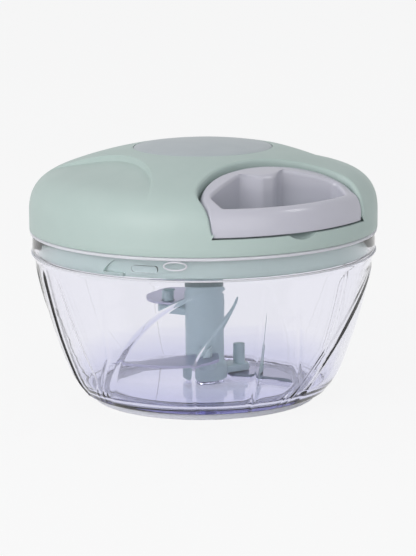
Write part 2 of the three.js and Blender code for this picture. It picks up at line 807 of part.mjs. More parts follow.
function screw(length, reach, angle, headBottom) {
  const headTop = headBottom + screwHead;
  const solid = revolve([
    [0, headBottom], [screwHeadRadius, headBottom], [screwHeadRadius, headTop], [screwRadius, headTop],
    [screwRadius, headTop + length], [0, headTop + length],
  ], screwSides);
  return turned(moved(solid, reach, 0, 0), angle);
}

function makeLidScrew(angle) {
  return screw(lidScrewLength, lidScrewReach, angle, coverFloor + clearance);
}

function makeCoverScrew(angle) {
  return screw(coverScrewLength, earReach, angle, springCoverBottom - clearance - screwHead);
}

function makeSpringCover() {
  const plate = ring(arborRadius + runningGap, springCoverRadius, springCoverBottom, springCoverTop);
  const ear = disc(earRadius, springCoverBottom, springCoverTop, smallSides);
  const ears = coverScrewAngles.map((angle) => turned(moved(ear, earReach, 0, 0), angle));
  const [low, high] = [springCoverBottom - overrun, springCoverTop + overrun];
  const hole = disc(screwRadius + clearance, low, high, screwSides);
  const holes = coverScrewAngles.map((angle) => turned(moved(hole, earReach, 0, 0), angle));
  return cut(union([plate, ...ears]), holes);
}

// The flat spring: one strip wound from the arbor out to the chamber's wall
function makePowerSpring() {
  const innerRadius = arborRadius + clearance + springStrip;
  const outerRadius = chamberRadius - clearance;
  const steps = springTurns * springStepsPerTurn;
  const outside = [];
  const inside = [];
  for (let i = 0; i <= steps; i += 1) {
    const radius = THREE.MathUtils.lerp(innerRadius, outerRadius, i / steps);
    const angle = (2 * Math.PI * i) / springStepsPerTurn;
    outside.push(onPlan(radius, angle));
    inside.unshift(onPlan(radius - springStrip, angle));
  }
  reportGap('power_spring', outside, springStepsPerTurn, springStrip);
  return prism(new THREE.Shape([...outside, ...inside]), springBottom, springBottom + springHeight);
}

// Spool, drive socket and cord

function keyPlan(radius) {
  const corner = (_, i) => onPlan(radius, degrees((360 * i) / keySides));
  return new THREE.Shape(Array.from({ length: keySides }, corner));
}

function makeSpool() {
  const body = revolve([
    [0, spoolBottom], [spoolFlangeRadius, spoolBottom], [spoolFlangeRadius, drumBottom],
    [drumRadius, drumBottom], [drumRadius, drumTop], [spoolFlangeRadius, drumTop],
    [spoolFlangeRadius, spoolTop], [arborRadius, spoolTop], [arborRadius, arborTop], [0, arborTop],
  ]);
  const keyTop = spoolBottom + keyHeight + clearance;
  const key = prism(keyPlan(keyRadius + clearance), spoolBottom - overrun, keyTop);
  const bore = disc(axleBoreRadius, spoolBottom - overrun, arborTop + overrun, smallSides);
  const pocket = ring(spoolHubRadius, drumRadius - spoolFlange, spoolBottom - overrun, drumTop - spoolFlange);
  const slot = prism(new THREE.Shape([
    new THREE.Vector2(0, -arborSlot / 2), new THREE.Vector2(arborRadius + overrun, -arborSlot / 2),
    new THREE.Vector2(arborRadius + overrun, arborSlot / 2), new THREE.Vector2(0, arborSlot / 2),
  ]), springBottom, arborTop + overrun);
  return cut(body, [key, bore, pocket, slot]);
}

function makeDriveSocket() {
  const body = revolve([
    [0, socketBottom], [socketRadius, socketBottom], [socketRadius, socketTop], [0, socketTop],
  ]);
  const key = prism(keyPlan(keyRadius), socketTop - keyHeight / 2, spoolBottom + keyHeight);
  const cavity = disc(socketCavityRadius, socketBottom - overrun, cavityTop, smallSides);
  const bore = disc(axleBoreRadius, socketBottom - overrun, spoolBottom + keyHeight + overrun, smallSides);
  const half = degrees(jawSpanAngle / 2);
  const middle = degrees(90);
  const jawOuter = socketCavityRadius + clearance;
  const jaw = sector(jawCoreRadius + clearance, jawOuter, middle - half, middle + half, socketBottom, jawTop);
  return union([cut(union([body, key]), [cavity, bore]), jaw, turned(jaw, 180)]);
}

function makeAxle() {
  const headTop = cavityTop - washerThickness - 2 * clearance;
  const headBottom = headTop - axleHead;
  return revolve([
    [0, headBottom], [axleHeadRadius, headBottom], [axleHeadRadius, headTop], [axleRadius, headTop],
    [axleRadius, axleTop], [0, axleTop],
  ], smallSides);
}

function makeWasher() {
  const top = cavityTop - clearance;
  return ring(axleBoreRadius, washerRadius, top - washerThickness, top, smallSides);
}

// The least gap between one turn of a winding and the next, measured on its points
function reportGap(name, points, stepsPerTurn, thickness) {
  let least = Infinity;
  points.forEach((point, i) => {
    for (let j = i + Math.round(stepsPerTurn / 2); j < points.length; j += 1) {
      least = Math.min(least, point.distanceTo(points[j]) - thickness);
    }
  });
  console.log(`${name}: least gap between its turns ${least.toFixed(2)} mm`);
}

// The lead leaves the winding on a tangent and bends into the guide just inside its mouth
const guideMouth = -(bayRearInner - clearance - guideFlange);
const leadCorner = guideMouth + cordBend;
const leadStart = -Math.PI / 2 - Math.acos(windingRadius / -leadCorner);

const knotCentre = -(bayRear + handleGap + cordRadius + knotRadius + 2 * clearance);

function makeWinding() {
  const points = [];
  const steps = Math.round(cordTurns * cordStepsPerTurn);
  for (let i = 0; i <= steps; i += 1) {
    const turns = (i - steps) / cordStepsPerTurn;
    const place = onPlan(windingRadius, leadStart + 2 * Math.PI * turns);
    points.push(new THREE.Vector3(place.x, place.y, cordHeight + turns * cordPitch));
  }
  reportGap('cord_winding', points, cordStepsPerTurn, 2 * cordRadius);
  return tube(points, cordRadius, cordSides, steps);
}

function makeLead() {
  const start = onPlan(windingRadius, leadStart);
  const corner = new THREE.Vector2(0, leadCorner);
  const along = corner.clone().sub(start).normalize();
  const first = start.addScaledVector(along, clearance);
  const bendIn = corner.clone().addScaledVector(along, -cordBend);
  const bendOut = new THREE.Vector2(0, leadCorner - cordBend);
  const knotFace = new THREE.Vector2(0, knotCentre + knotRadius + clearance);
  const points = [first, bendIn, bendOut, knotFace].map(({ x, y }) => new THREE.Vector3(x, y, cordHeight));
  return tube(points, cordRadius, cordSides, leadSteps);
}

function makeGuide() {
  const back = -bayRear;
  const front = back + lidWall + clearance;
  const outline = [
    [guideBoreRadius, back], [guideBodyRadius, back], [guideBodyRadius, front],
    [guideFlangeRadius, front], [guideFlangeRadius, front + guideFlange],
    [guideBoreRadius, front + guideFlange],
  ];
  return moved(revolve(outline, smallSides).rotate([-90, 0, 0]), 0, 0, cordHeight);
}

// Pull handle

// The finger hole: its rear walls slant from the boss in the middle to the sides
function handleHole() {
  const rear = -(bayRear + handleGap + handleWall);
  const half = bayHalfWidth - handleGap - handleSideWall;
  const rearHalf = half * handleRearShare;
  const shape = new THREE.Shape([
    new THREE.Vector2(-half, -lidRadius), new THREE.Vector2(half, -lidRadius),
    new THREE.Vector2(half, rear - handleSlant), new THREE.Vector2(rearHalf, rear),
    new THREE.Vector2(-rearHalf, rear), new THREE.Vector2(-half, rear - handleSlant),
  ]);
  const plan = prism(shape, handleBottom - overrun, lidTop + overrun);
  const reach = disc(barInnerRadius, handleBottom - overrun, lidTop + overrun, wideSides);
  return plan.intersect(turned(reach, halfFacet));
}

function cordBoss() {
  const rear = -(bayRear + handleGap + handleWall / 2);
  const front = knotCentre - knotRadius - clearance - cordBossFrontWall;
  const root = -(bayRear + handleGap + handleWall);
  const halfWidth = knotRadius + clearance + cordBossSideWall;
  const rootHalf = halfWidth + cordBossFlank;
  const tipHalf = halfWidth - cordBossFlank;
  const shape = new THREE.Shape();
  shape.moveTo(rootHalf, rear);
  shape.lineTo(-rootHalf, rear);
  shape.lineTo(-rootHalf, root);
  shape.bezierCurveTo(-halfWidth, root, -halfWidth, front, -tipHalf, front);
  shape.lineTo(tipHalf, front);
  shape.bezierCurveTo(halfWidth, front, halfWidth, root, rootHalf, root);
  return prism(shape, handleBottom, lidTop, finePoints);
}

function makeHandle() {
  const envelope = revolve(domeOutline(handleBottom, handleInset, handleDrop), wideSides);
  const block = prism(bayPlan(handleGap), handleBottom, lidTop);
  const body = union([block.subtract(handleHole()), cordBoss()]).intersect(envelope);
  const bore = disc(guideBoreRadius, 0, -knotCentre, smallSides).rotate([90, 0, 0]);
  const pocketRadius = knotRadius + clearance;
  const pocket = new THREE.SphereGeometry(pocketRadius, screwSides, screwSides / 2);
  const way = new THREE.Shape();
  way.moveTo(-pocketRadius, knotCentre - pocketRadius);
  way.lineTo(pocketRadius, knotCentre - pocketRadius);
  way.lineTo(pocketRadius, knotCentre + pocketRadius - clearance);
  way.lineTo(-pocketRadius, knotCentre + pocketRadius - clearance);
  const knotWay = prism(way, handleBottom - overrun, cordHeight);
  const knotPocket = moved(toSolid(pocket), 0, knotCentre, cordHeight);
  return cut(body, [moved(bore, 0, 0, cordHeight), knotPocket, knotWay]);
}

function makeKnot() {
  const ball = toSolid(new THREE.SphereGeometry(knotRadius, screwSides, screwSides / 2));
  return moved(ball, 0, knotCentre, cordHeight);
}

// Materials

const finish = (color, roughness, metalness = 0, opacity = 1) => new THREE.MeshStandardMaterial({
  color, roughness, metalness, opacity, transparent: opacity < 1,
});
const sage = finish(0xb9cdc6, 0.55);
const darkSage = finish(0x6f8583, 0.5);
const slateSage = finish(0x93a8a6, 0.45);
const lilacGrey = finish(0xc4c3ca, 0.3);
const clearPlastic = finish(0xe6e6f2, 0.05, 0, 0.3);
const clearRubber = finish(0xdfe2ea, 0.4, 0, 0.6);
const silicone = finish(0xe4e8e6, 0.6);
const steel = finish(0xb3aebb, 0.25, 1);
const springSteel = finish(0x7d7f86, 0.35, 1);
const cordFibre = finish(0xe9e9e4, 0.9);

const chopper = new THREE.Group();

function add(name, solid, material) {
  const mesh = new THREE.Mesh(toGeometry(solid), material);
  mesh.name = name;
  chopper.add(mesh);
}

add('bowl', makeBowl(), clearPlastic);
add('foot_ring', makeFootRing(), clearRubber);
add('pivot_pin', makePivotPin(), steel);
add('blade_spindle', makeSpindle(), slateSage);
bladeLevels.forEach((level) => add(level.name, makeBlade(level), steel));
add('lid_seal', makeSeal(), silicone);
add('lid_shell', makeLidShell(), sage);
add('badge_disc', makeBadge(), lilacGrey);
add('lid_base', makeLidBase(), sage);
lidScrewAngles.forEach((angle, i) => add(`lid_screw_${i + 1}`, makeLidScrew(angle), steel));
add('cord_guide', makeGuide(), steel);
add('cord_lead', makeLead(), cordFibre);
add('power_spring', makePowerSpring(), springSteel);
add('spring_cover', makeSpringCover(), darkSage);
coverScrewAngles.forEach((angle, i) => add(`cover_screw_${i + 1}`, makeCoverScrew(angle), steel));
add('axle_screw', makeAxle(), steel);
add('thrust_washer', makeWasher(), steel);
add('cord_spool', makeSpool(), slateSage);
add('cord_winding', makeWinding(), cordFibre);
add('drive_socket', makeDriveSocket(), darkSage);
add('pull_handle', makeHandle(), lilacGrey);
add('cord_knot', makeKnot(), cordFibre);

export default chopper;
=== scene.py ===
# %% [markdown]
# # A pull-cord hand chopper
# A clear bowl with a swirl relief holds three blades on a spindle. The lid hides a spool, a flat spring
# and a cord, and the ring handle in its bay pulls the cord. The frame brings every solid in metres, at
# rest, so each finer piece below is drawn in millimetres where its solid is and then scaled to metres.

# %% Load the frame
import math

import bmesh
import bpy
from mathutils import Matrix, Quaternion, Vector


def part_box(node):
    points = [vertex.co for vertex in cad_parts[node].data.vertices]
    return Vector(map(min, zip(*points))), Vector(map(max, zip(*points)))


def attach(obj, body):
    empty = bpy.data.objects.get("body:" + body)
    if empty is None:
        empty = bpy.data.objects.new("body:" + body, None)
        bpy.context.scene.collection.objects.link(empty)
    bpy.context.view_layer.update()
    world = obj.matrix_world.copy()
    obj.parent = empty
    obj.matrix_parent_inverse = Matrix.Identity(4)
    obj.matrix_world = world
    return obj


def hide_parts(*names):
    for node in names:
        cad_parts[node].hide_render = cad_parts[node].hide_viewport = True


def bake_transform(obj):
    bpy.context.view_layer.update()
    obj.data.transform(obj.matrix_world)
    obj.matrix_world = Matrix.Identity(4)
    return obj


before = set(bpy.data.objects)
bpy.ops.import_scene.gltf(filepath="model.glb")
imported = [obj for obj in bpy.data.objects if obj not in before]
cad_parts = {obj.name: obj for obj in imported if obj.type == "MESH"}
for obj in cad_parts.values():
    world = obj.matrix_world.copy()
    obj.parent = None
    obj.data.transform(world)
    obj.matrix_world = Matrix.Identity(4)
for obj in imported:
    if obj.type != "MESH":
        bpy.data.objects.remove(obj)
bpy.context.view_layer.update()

# %% [markdown]
# ## Camera
# The photograph looks down on the chopper by about eleven degrees, from the left of the handle. A long lens
# far away keeps the perspective weak, so the camera stands 87 cm off with a 157 mm lens. It leans by half a
# degree, as the photograph does.

# %% Camera
MM = 0.001
VIEW_TURN = -32.9
camera_data = bpy.data.cameras.new("camera")
camera_data.sensor_fit = "VERTICAL"
camera_data.sensor_height = 36
camera_data.lens = 157.06
camera = bpy.data.objects.new("camera", camera_data)
bpy.context.collection.objects.link(camera)
camera.location = (-0.46950, -0.72845, 0.21631)
camera.rotation_mode = "QUATERNION"
turn = Quaternion((0, 0, 1), math.radians(VIEW_TURN))
tilt = Quaternion((1, 0, 0), math.radians(78.68))
roll = Quaternion((0, 0, 1), math.radians(-0.5))
camera.rotation_quaternion = turn @ tilt @ roll
bpy.context.scene.camera = camera
bpy.context.scene.view_settings.view_transform = "Standard"
print("camera", [round(v, 3) for v in camera.location], "lens", camera_data.lens)

# %% [markdown]
# ## Colours and nodes
# Colours are picked as sRGB hex, the way a paint chip is read off a screen, and one function turns them
# linear. One small function adds a shader node with its settings, its values and its links, so each
# material below reads as a short recipe.


# %% Helpers for materials
def linear(code):
    """The linear colour of an sRGB hex code such as b9c8c6."""
    channels = [int(code[i:i + 2], 16) / 255 for i in (0, 2, 4)]
    return [c / 12.92 if c <= 0.04045 else ((c + 0.055) / 1.055) ** 2.4 for c in channels] + [1.0]


def add_node(tree, kind, values=None, **settings):
    """Adds a shader node; values maps its sockets to numbers, colours or another node's output."""
    node = tree.nodes.new("ShaderNode" + kind)
    for key, setting in settings.items():
        setattr(node, key, setting)
    for socket, value in (values or {}).items():
        if isinstance(value, bpy.types.NodeSocket):
            tree.links.new(value, node.inputs[socket])
        else:
            node.inputs[socket].default_value = value
    return node


def new_material(name, base, **values):
    """A material with a Principled shader, whose tree the recipe then adds to."""
    material = bpy.data.materials.new(name)
    material.use_nodes = True
    tree = material.node_tree
    shader = tree.nodes["Principled BSDF"]
    shader.inputs["Base Color"].default_value = linear(base)
    for socket, value in values.items():
        shader.inputs[socket.replace("_", " ")].default_value = value
    return material, tree, shader


# %% [markdown]
# ## Moulded plastics
# The lid is ABS from a mould with a fine spark-eroded grain. That grain scatters the light, so the green
# looks soft and chalky. Its real grit is about 0.05 mm, too fine for the picture, so it is drawn at 0.35
# mm. The handle is the same plastic from a polished mould, so it gets a glossy surface with only a long,
# faint waviness.


# %% Moulded ABS
def moulded(name, base, shade, roughness, grain_mm, grain_height_mm, gloss_mm=9.0):
    """Moulded plastic: slow colour drift, surface grain of a real size, and a little uneven gloss."""
    material, tree, shader = new_material(name, base, Roughness=roughness, IOR=1.53)
    place = add_node(tree, "TexCoord").outputs["Object"]
    drift = add_node(tree, "TexNoise", {
        "Vector": place, "Scale": 1 / (gloss_mm * MM), "Detail": 3.0})
    tone = add_node(tree, "Mix", {
        0: drift.outputs["Fac"], 6: linear(base), 7: linear(shade)}, data_type="RGBA")
    tree.links.new(tone.outputs[2], shader.inputs["Base Color"])
    dull = add_node(tree, "MapRange", {
        "Value": drift.outputs["Fac"], "To Min": roughness - 0.05, "To Max": roughness + 0.05})
    tree.links.new(dull.outputs["Result"], shader.inputs["Roughness"])
    grain = add_node(tree, "TexNoise", {
        "Vector": place, "Scale": 1 / (grain_mm * MM), "Detail": 2.0})
    bump = add_node(tree, "Bump", {
        "Height": grain.outputs["Fac"], "Strength": 1.0, "Distance": grain_height_mm * MM})
    tree.links.new(bump.outputs["Normal"], shader.inputs["Normal"])
    return material


# The three numbers are the roughness, then the grain's size and its height in millimetres.
sage = moulded("moulded_abs_sage", "b2c2bd", "adbeb9", 0.5, 0.35, 0.012)
# The lower cover is the lid's sage ABS painted lighter: painted light for the dim light that reaches it
# behind the bowl's clear wall.
sage_painted_lighter = moulded("moulded_abs_sage_painted_lighter", "cddfda", "c8dbd6", 0.42, 0.5, 0.006)
# The drive socket and spring cover get a darker sage: painted shade for the shadow under the lid where the
# socket shows.
sage_painted_dark = moulded("moulded_nylon_sage_painted_dark", "6c7f80", "65797a", 0.42, 0.5, 0.008)
# The spindle's slate sage is painted lighter than its nylon: painted light for the dim light inside the
# bowl.
slate_sage_painted_lighter = moulded("moulded_nylon_slate_sage_painted_lighter", "bccfd6", "b4c8cf", 0.38, 0.5, 0.006)
lilac = moulded("polished_abs_lilac_grey", "c2c1cb", "bebdc8", 0.18, 2.5, 0.01)
badge_grey = moulded("satin_abs_grey", "aeb6ba", "aab2b6", 0.45, 0.4, 0.004)
print("moulded plastics:", [m.name for m in (sage, sage_painted_lighter, sage_painted_dark, slate_sage_painted_lighter, lilac, badge_grey)])

# %% [markdown]
# ## Clear plastic
# The bowl is SAN, a clear styrene plastic with a mould's polish. Its real IOR is about 1.57. Here it is
# 1.42, because light that is reflected many times inside the wall ends black at the renderer's limit of
# bounces, and a lower IOR traps less of it. The plastic takes a faint lilac from the depth that the light
# crosses, so the tint is an absorption in its volume: thin walls look colourless, and the floor and the
# edges, where the way is long, turn lilac. Low in the bowl the surface's own colour is more lilac too.
#
# The soft plastic is milky: about a third of the light goes through it, and a rough surface scatters the
# rest. The foot is made of it. Three thin rings on the bowl get it too, as painted highlights: they are
# white where the edges of the real bowl shine.

# %% Clear and soft plastics
SAN_COLOUR = "fbfbfe"
clear, clear_tree, clear_shader = new_material(
    "injection_moulded_san", SAN_COLOUR, Roughness=0.015, IOR=1.42, Transmission_Weight=1.0)
place = add_node(clear_tree, "TexCoord").outputs["Object"]
flow = add_node(clear_tree, "TexNoise", {"Vector": place, "Scale": 1 / (16 * MM), "Detail": 1.0})
flow_bump = add_node(clear_tree, "Bump", {
    "Height": flow.outputs["Fac"], "Strength": 1.0, "Distance": 0.05 * MM})
clear_tree.links.new(flow_bump.outputs["Normal"], clear_shader.inputs["Normal"])
height = add_node(clear_tree, "SeparateXYZ", {"Vector": place})
depth = add_node(clear_tree, "MapRange", {
    "Value": height.outputs["Z"], "From Min": 5 * MM, "From Max": 16 * MM})
low_lilac = add_node(clear_tree, "Mix", {
    0: depth.outputs["Result"], 6: linear("dfe0f4"), 7: linear(SAN_COLOUR)}, data_type="RGBA")
clear_tree.links.new(low_lilac.outputs[2], clear_shader.inputs["Base Color"])
tint = add_node(clear_tree, "VolumeAbsorption", {"Color": linear("c4c2e2"), "Density": 30.0})
clear_tree.links.new(tint.outputs["Volume"], clear_tree.nodes["Material Output"].inputs["Volume"])

# Milky soft plastic. It is the foot's own material, and on the bowl's three white rings it is a painted
# highlight.
soft_clear_and_highlight, soft_tree, soft_shader = new_material(
    "moulded_tpe_and_painted_highlight", "f0f0f6", Roughness=0.5, IOR=1.45, Transmission_Weight=0.3)
place = add_node(soft_tree, "TexCoord").outputs["Object"]
cloud = add_node(soft_tree, "TexNoise", {"Vector": place, "Scale": 1 / (6 * MM), "Detail": 2.0})
cloud_gloss = add_node(soft_tree, "MapRange", {
    "Value": cloud.outputs["Fac"], "To Min": 0.42, "To Max": 0.58})
soft_tree.links.new(cloud_gloss.outputs["Result"], soft_shader.inputs["Roughness"])
silicone = moulded("moulded_silicone_white", "dfe4e2", "d9dfdd", 0.5, 0.6, 0.004)
print("clear plastic's IOR", clear_shader.inputs["IOR"].default_value)

# %% [markdown]
# ## Steel and cord
# The blades are stamped from brushed stainless sheet. Brushing leaves fine parallel scratches, which
# stretch the gloss across them, so the scratches are noise drawn out along the sheet. The spring is blued
# carbon steel. The cord is braided polyester, and its braid follows the cord's own UV map.


# %% Metals and cord
def metal(name, base, roughness, scratch_mm, stretch):
    """Brushed metal: scratches that are long one way and fine the other."""
    material, tree, shader = new_material(name, base, Metallic=1.0, Roughness=roughness)
    place = add_node(tree, "TexCoord").outputs["Object"]
    along = add_node(tree, "Mapping", {"Vector": place, "Scale": (1.0, stretch, 1.0)})
    scratch = add_node(tree, "TexNoise", {
        "Vector": along.outputs["Vector"], "Scale": 1 / (scratch_mm * MM), "Detail": 4.0})
    gloss = add_node(tree, "MapRange", {
        "Value": scratch.outputs["Fac"], "To Min": roughness - 0.08, "To Max": roughness + 0.12})
    tree.links.new(gloss.outputs["Result"], shader.inputs["Roughness"])
    bump = add_node(tree, "Bump", {
        "Height": scratch.outputs["Fac"], "Strength": 1.0, "Distance": 0.004 * MM})
    tree.links.new(bump.outputs["Normal"], shader.inputs["Normal"])
    return material


steel = metal("brushed_stainless_steel", "b2b2c8", 0.3, 3.0, 12.0)
blued = metal("blued_spring_steel", "7b7f88", 0.35, 3.0, 8.0)

braid, braid_tree, braid_shader = new_material(
    "braided_polyester", "e6e6e0", Roughness=0.85, IOR=1.55, Sheen_Weight=0.3)
braid_map = add_node(braid_tree, "TexCoord").outputs["UV"]
strands = add_node(braid_tree, "TexBrick", {
    "Vector": braid_map, "Scale": 1.0, "Mortar Size": 0.06, "Mortar Smooth": 1.0, "Brick Width": 0.5,
    "Row Height": 0.25, "Color1": linear("eeeee8"), "Color2": linear("dcdcd5"), "Mortar": linear("a3a39d"),
}, offset=0.5)
braid_tree.links.new(strands.outputs["Color"], braid_shader.inputs["Base Color"])
braid_bump = add_node(braid_tree, "Bump", {
    "Height": strands.outputs["Fac"], "Strength": 1.0, "Distance": -0.12 * MM})
braid_tree.links.new(braid_bump.outputs["Normal"], braid_shader.inputs["Normal"])
print("metals and cord:", steel.name, blued.name, braid.name)

# %% [markdown]
# ## Floor, lamps and world
# The photograph is a bright product shot with a white ground. The floor is a plain pale sheet. Camera,
# glossy and transmitted rays see it as an even white, and a share of its real shading stays so that the
# object keeps a soft shadow. The lamps are large and soft, with the key low at the camera's left, because
# the lid's wall is brighter than its top.

# %% Floor and world
WHITE = "fafafa"
floor_builder = bmesh.new()
bmesh.ops.create_grid(floor_builder, x_segments=1, y_segments=1, size=6.0)
floor_mesh = bpy.data.meshes.new("floor")
floor_builder.to_mesh(floor_mesh)
floor_builder.free()
floor = bpy.data.objects.new("floor", floor_mesh)
bpy.context.collection.objects.link(floor)


def sees_white(tree, share):
    """A factor that is share for camera, glossy and transmitted rays, and zero for the light itself."""
    path = add_node(tree, "LightPath")
    seen = path.outputs["Is Camera Ray"]
    for ray in ("Is Glossy Ray", "Is Transmission Ray"):
        either = add_node(tree, "Math", {0: seen, 1: path.outputs[ray]}, operation="MAXIMUM")
        seen = either.outputs[0]
    return add_node(tree, "Math", {0: seen, 1: share}, operation="MULTIPLY").outputs[0]


floor_paper, floor_tree, floor_shader = new_material("matte_paper_white", "f4f4f4", Roughness=0.9)
floor_glow = add_node(floor_tree, "Emission", {"Color": linear(WHITE), "Strength": 1.0})
floor_mix = add_node(floor_tree, "MixShader", {
    0: sees_white(floor_tree, 0.93), 1: floor_shader.outputs[0], 2: floor_glow.outputs[0]})
floor_tree.links.new(floor_mix.outputs[0], floor_tree.nodes["Material Output"].inputs["Surface"])
floor_mesh.materials.append(floor_paper)

world = bpy.data.worlds.new("studio")
bpy.context.scene.world = world
world.use_nodes = True
world_tree = world.node_tree
sky = world_tree.nodes["Background"]
sky.inputs["Color"].default_value = linear("f2f4f8")
sky.inputs["Strength"].default_value = 0.46
ground = add_node(world_tree, "Background", {"Color": linear(WHITE), "Strength": 1.0})
world_mix = add_node(world_tree, "MixShader", {
    0: sees_white(world_tree, 1.0), 1: sky.outputs[0], 2: ground.outputs[0]})
world_tree.links.new(world_mix.outputs[0], world_tree.nodes["World Output"].inputs["Surface"])


# %% Lamps
def lamp(name, azimuth, elevation, distance, size, watts):
    """A square soft lamp aimed at the chopper; azimuth 0 is the camera's side, positive to its right."""
    data = bpy.data.lights.new(name, "AREA")
    data.size = size
    data.energy = watts
    lamp_object = bpy.data.objects.new(name, data)
    bpy.context.collection.objects.link(lamp_object)
    heading = math.radians(VIEW_TURN - 90 + azimuth)
    rise = math.radians(elevation)
    aim = Vector((0, 0, 0.05))
    level = math.cos(rise)
    away = Vector((math.cos(heading) * level, math.sin(heading) * level, math.sin(rise)))
    lamp_object.location = aim + away * distance
    lamp_object.rotation_mode = "QUATERNION"
    lamp_object.rotation_quaternion = away.to_track_quat("Z", "Y")


# Azimuth and elevation in degrees, distance and size in metres, power in watts.
lamp("key", -38, 22, 1.1, 0.7, 6.2)
lamp("fill", 24, 22, 1.4, 0.9, 2.0)
lamp("top", -120, 60, 1.2, 0.8, 1.3)
lamp("glint", 78, 44, 1.2, 0.22, 0.9)

# %% [markdown]
# ## Turning and joining
# Most pieces here come from a mould that was turned on a lathe, so the main tool is a spin: an outline of
# radius and height goes round the Z axis. Each point of the outline keeps its number in a layer, so that
# later steps can find, say, only the outside. Holes and ribs then come from exact booleans, which keep
# their edges crisp.


# %% Modelling helpers
def between(a, b, count):
    """Points of a straight line from a towards b, without b itself."""
    return [Vector(a).lerp(Vector(b), step / count) for step in range(count)]


def bent(a, corner, b, count):
    """Points of a curve from a towards b that a corner between them pulls out, without b itself."""
    a, corner, b = Vector(a), Vector(corner), Vector(b)
    return [a.lerp(corner, k / count).lerp(corner.lerp(b, k / count), k / count) for k in range(count)]


def polar(radius, degrees):
    """The plan point at a radius and an angle from the X axis."""
    return Vector((radius * math.cos(math.radians(degrees)), radius * math.sin(math.radians(degrees))))


def circle(size, count, centre=(0, 0)):
    """Points evenly round a circle."""
    turns = [math.tau * step / count for step in range(count)]
    return [(centre[0] + size * math.cos(turn), centre[1] + size * math.sin(turn)) for turn in turns]


def outward(builder):
    """Turns all faces of a closed bmesh outwards."""
    bmesh.ops.recalc_face_normals(builder, faces=builder.faces)
    return builder


def spun(outline, steps=96):
    """A bmesh in mm: (radius, height) points spun round the Z axis, which an open outline starts on."""
    closed = outline[0][0] > 0
    builder = bmesh.new()
    rows = builder.verts.layers.int.new("row")
    points = [builder.verts.new((radius, 0, height)) for radius, height in outline]
    for row, point in enumerate(points):
        point[rows] = row
    pairs = zip(points, points[1:] + points[:1] if closed else points[1:])
    edges = [builder.edges.new(pair) for pair in pairs]
    bmesh.ops.spin(builder, geom=points + edges, axis=(0, 0, 1), cent=(0, 0, 0), steps=steps,
                   angle=math.tau, use_merge=True)
    bmesh.ops.remove_doubles(builder, verts=builder.verts, dist=0.0005)
    return outward(builder)


def looped(sections):
    """Joins sections of equally many points: a spun band whose points are moved into place."""
    count = len(sections)
    builder = spun(circle(1, len(sections[0]), (100, 0)), steps=count)
    rows = builder.verts.layers.int["row"]
    for vert in builder.verts:
        turn = round(math.atan2(vert.co.y, vert.co.x) / math.tau * count) % count
        vert.co = sections[turn][vert[rows]]
    return outward(builder)


def prism(plan, low, high):
    """A flat outline in the XY plane, filled and extruded from one height to another."""
    builder = bmesh.new()
    corners = [builder.verts.new((*point, low)) for point in plan]
    edges = [builder.edges.new(pair) for pair in zip(corners, corners[1:] + corners[:1])]
    face = bmesh.ops.contextual_create(builder, geom=edges)["faces"]
    risen = bmesh.ops.extrude_face_region(builder, geom=face)["geom"]
    lifted = [item for item in risen if isinstance(item, bmesh.types.BMVert)]
    bmesh.ops.translate(builder, vec=(0, 0, high - low), verts=lifted)
    return outward(builder)


def plug(radius, low, high, steps=40):
    """A round plug on the Z axis, for bores and pegs."""
    return spun([(0, low), (radius, low), (radius, high), (0, high)], steps=steps)


def shaped(create, stretch, place, **settings):
    """A unit cube or ball, stretched along each axis and moved to its place."""
    builder = bmesh.new()
    create(builder, **settings)
    bmesh.ops.scale(builder, vec=stretch, verts=builder.verts)
    bmesh.ops.translate(builder, vec=place, verts=builder.verts)
    return builder


def placed(builder, radius, angle):
    """Moves a bmesh out along X and turns it round the Z axis."""
    bmesh.ops.translate(builder, vec=(radius, 0, 0), verts=builder.verts)
    turn = Quaternion((0, 0, 1), math.radians(angle)).to_matrix()
    bmesh.ops.rotate(builder, matrix=turn, verts=builder.verts)
    return builder


def joined(builders):
    """Several closed bmeshes in one, for one boolean."""
    whole = bmesh.new()
    for builder in builders:
        mesh = bpy.data.meshes.new("part")
        builder.to_mesh(mesh)
        builder.free()
        whole.from_mesh(mesh)
        bpy.data.meshes.remove(mesh)
    return whole


def to_object(builder, name):
    """Scales a bmesh from millimetres to metres and hands it over to a new object."""
    bmesh.ops.scale(builder, vec=(MM, MM, MM), verts=builder.verts)
    mesh = bpy.data.meshes.new(name)
    builder.to_mesh(mesh)
    builder.free()
    made = bpy.data.objects.new(name, mesh)
    bpy.context.collection.objects.link(made)
    return made


def combine(target, builder, operation="DIFFERENCE"):
    """Cuts a bmesh out of an object, or joins it on, with a boolean that is applied at once."""
    tool = to_object(builder, "tool")
    boolean = target.modifiers.new("boolean", "BOOLEAN")
    boolean.operation = operation
    boolean.solver = "MANIFOLD"
    boolean.object = tool
    evaluated = target.evaluated_get(bpy.context.evaluated_depsgraph_get())
    result = bpy.data.meshes.new_from_object(evaluated)
    if len(result.polygons) == len(target.data.polygons):
        raise ValueError(f"the boolean on {target.name} changed nothing: one of its meshes isn't closed")
    target.modifiers.clear()
    old = target.data
    target.data = result
    bpy.data.meshes.remove(old)
    bpy.data.objects.remove(tool)


def finish_piece(piece, body, material, nodes, sharp):
    """Smooth shading except at edges sharper than an angle, one material, and a place in the frame."""
    mesh = piece.data
    mesh.materials.clear()
    mesh.materials.append(material)
    mesh.polygons.foreach_set("use_smooth", [True] * len(mesh.polygons))
    mesh.set_sharp_from_angle(angle=math.radians(sharp))
    if body:
        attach(piece, body)
    if nodes:
        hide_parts(*nodes)
    box = [[round(value / MM, 1) for value in corner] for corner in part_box(nodes[0])] if nodes else ""
    print(piece.name, len(mesh.polygons), "faces; its solid's box in mm", box)


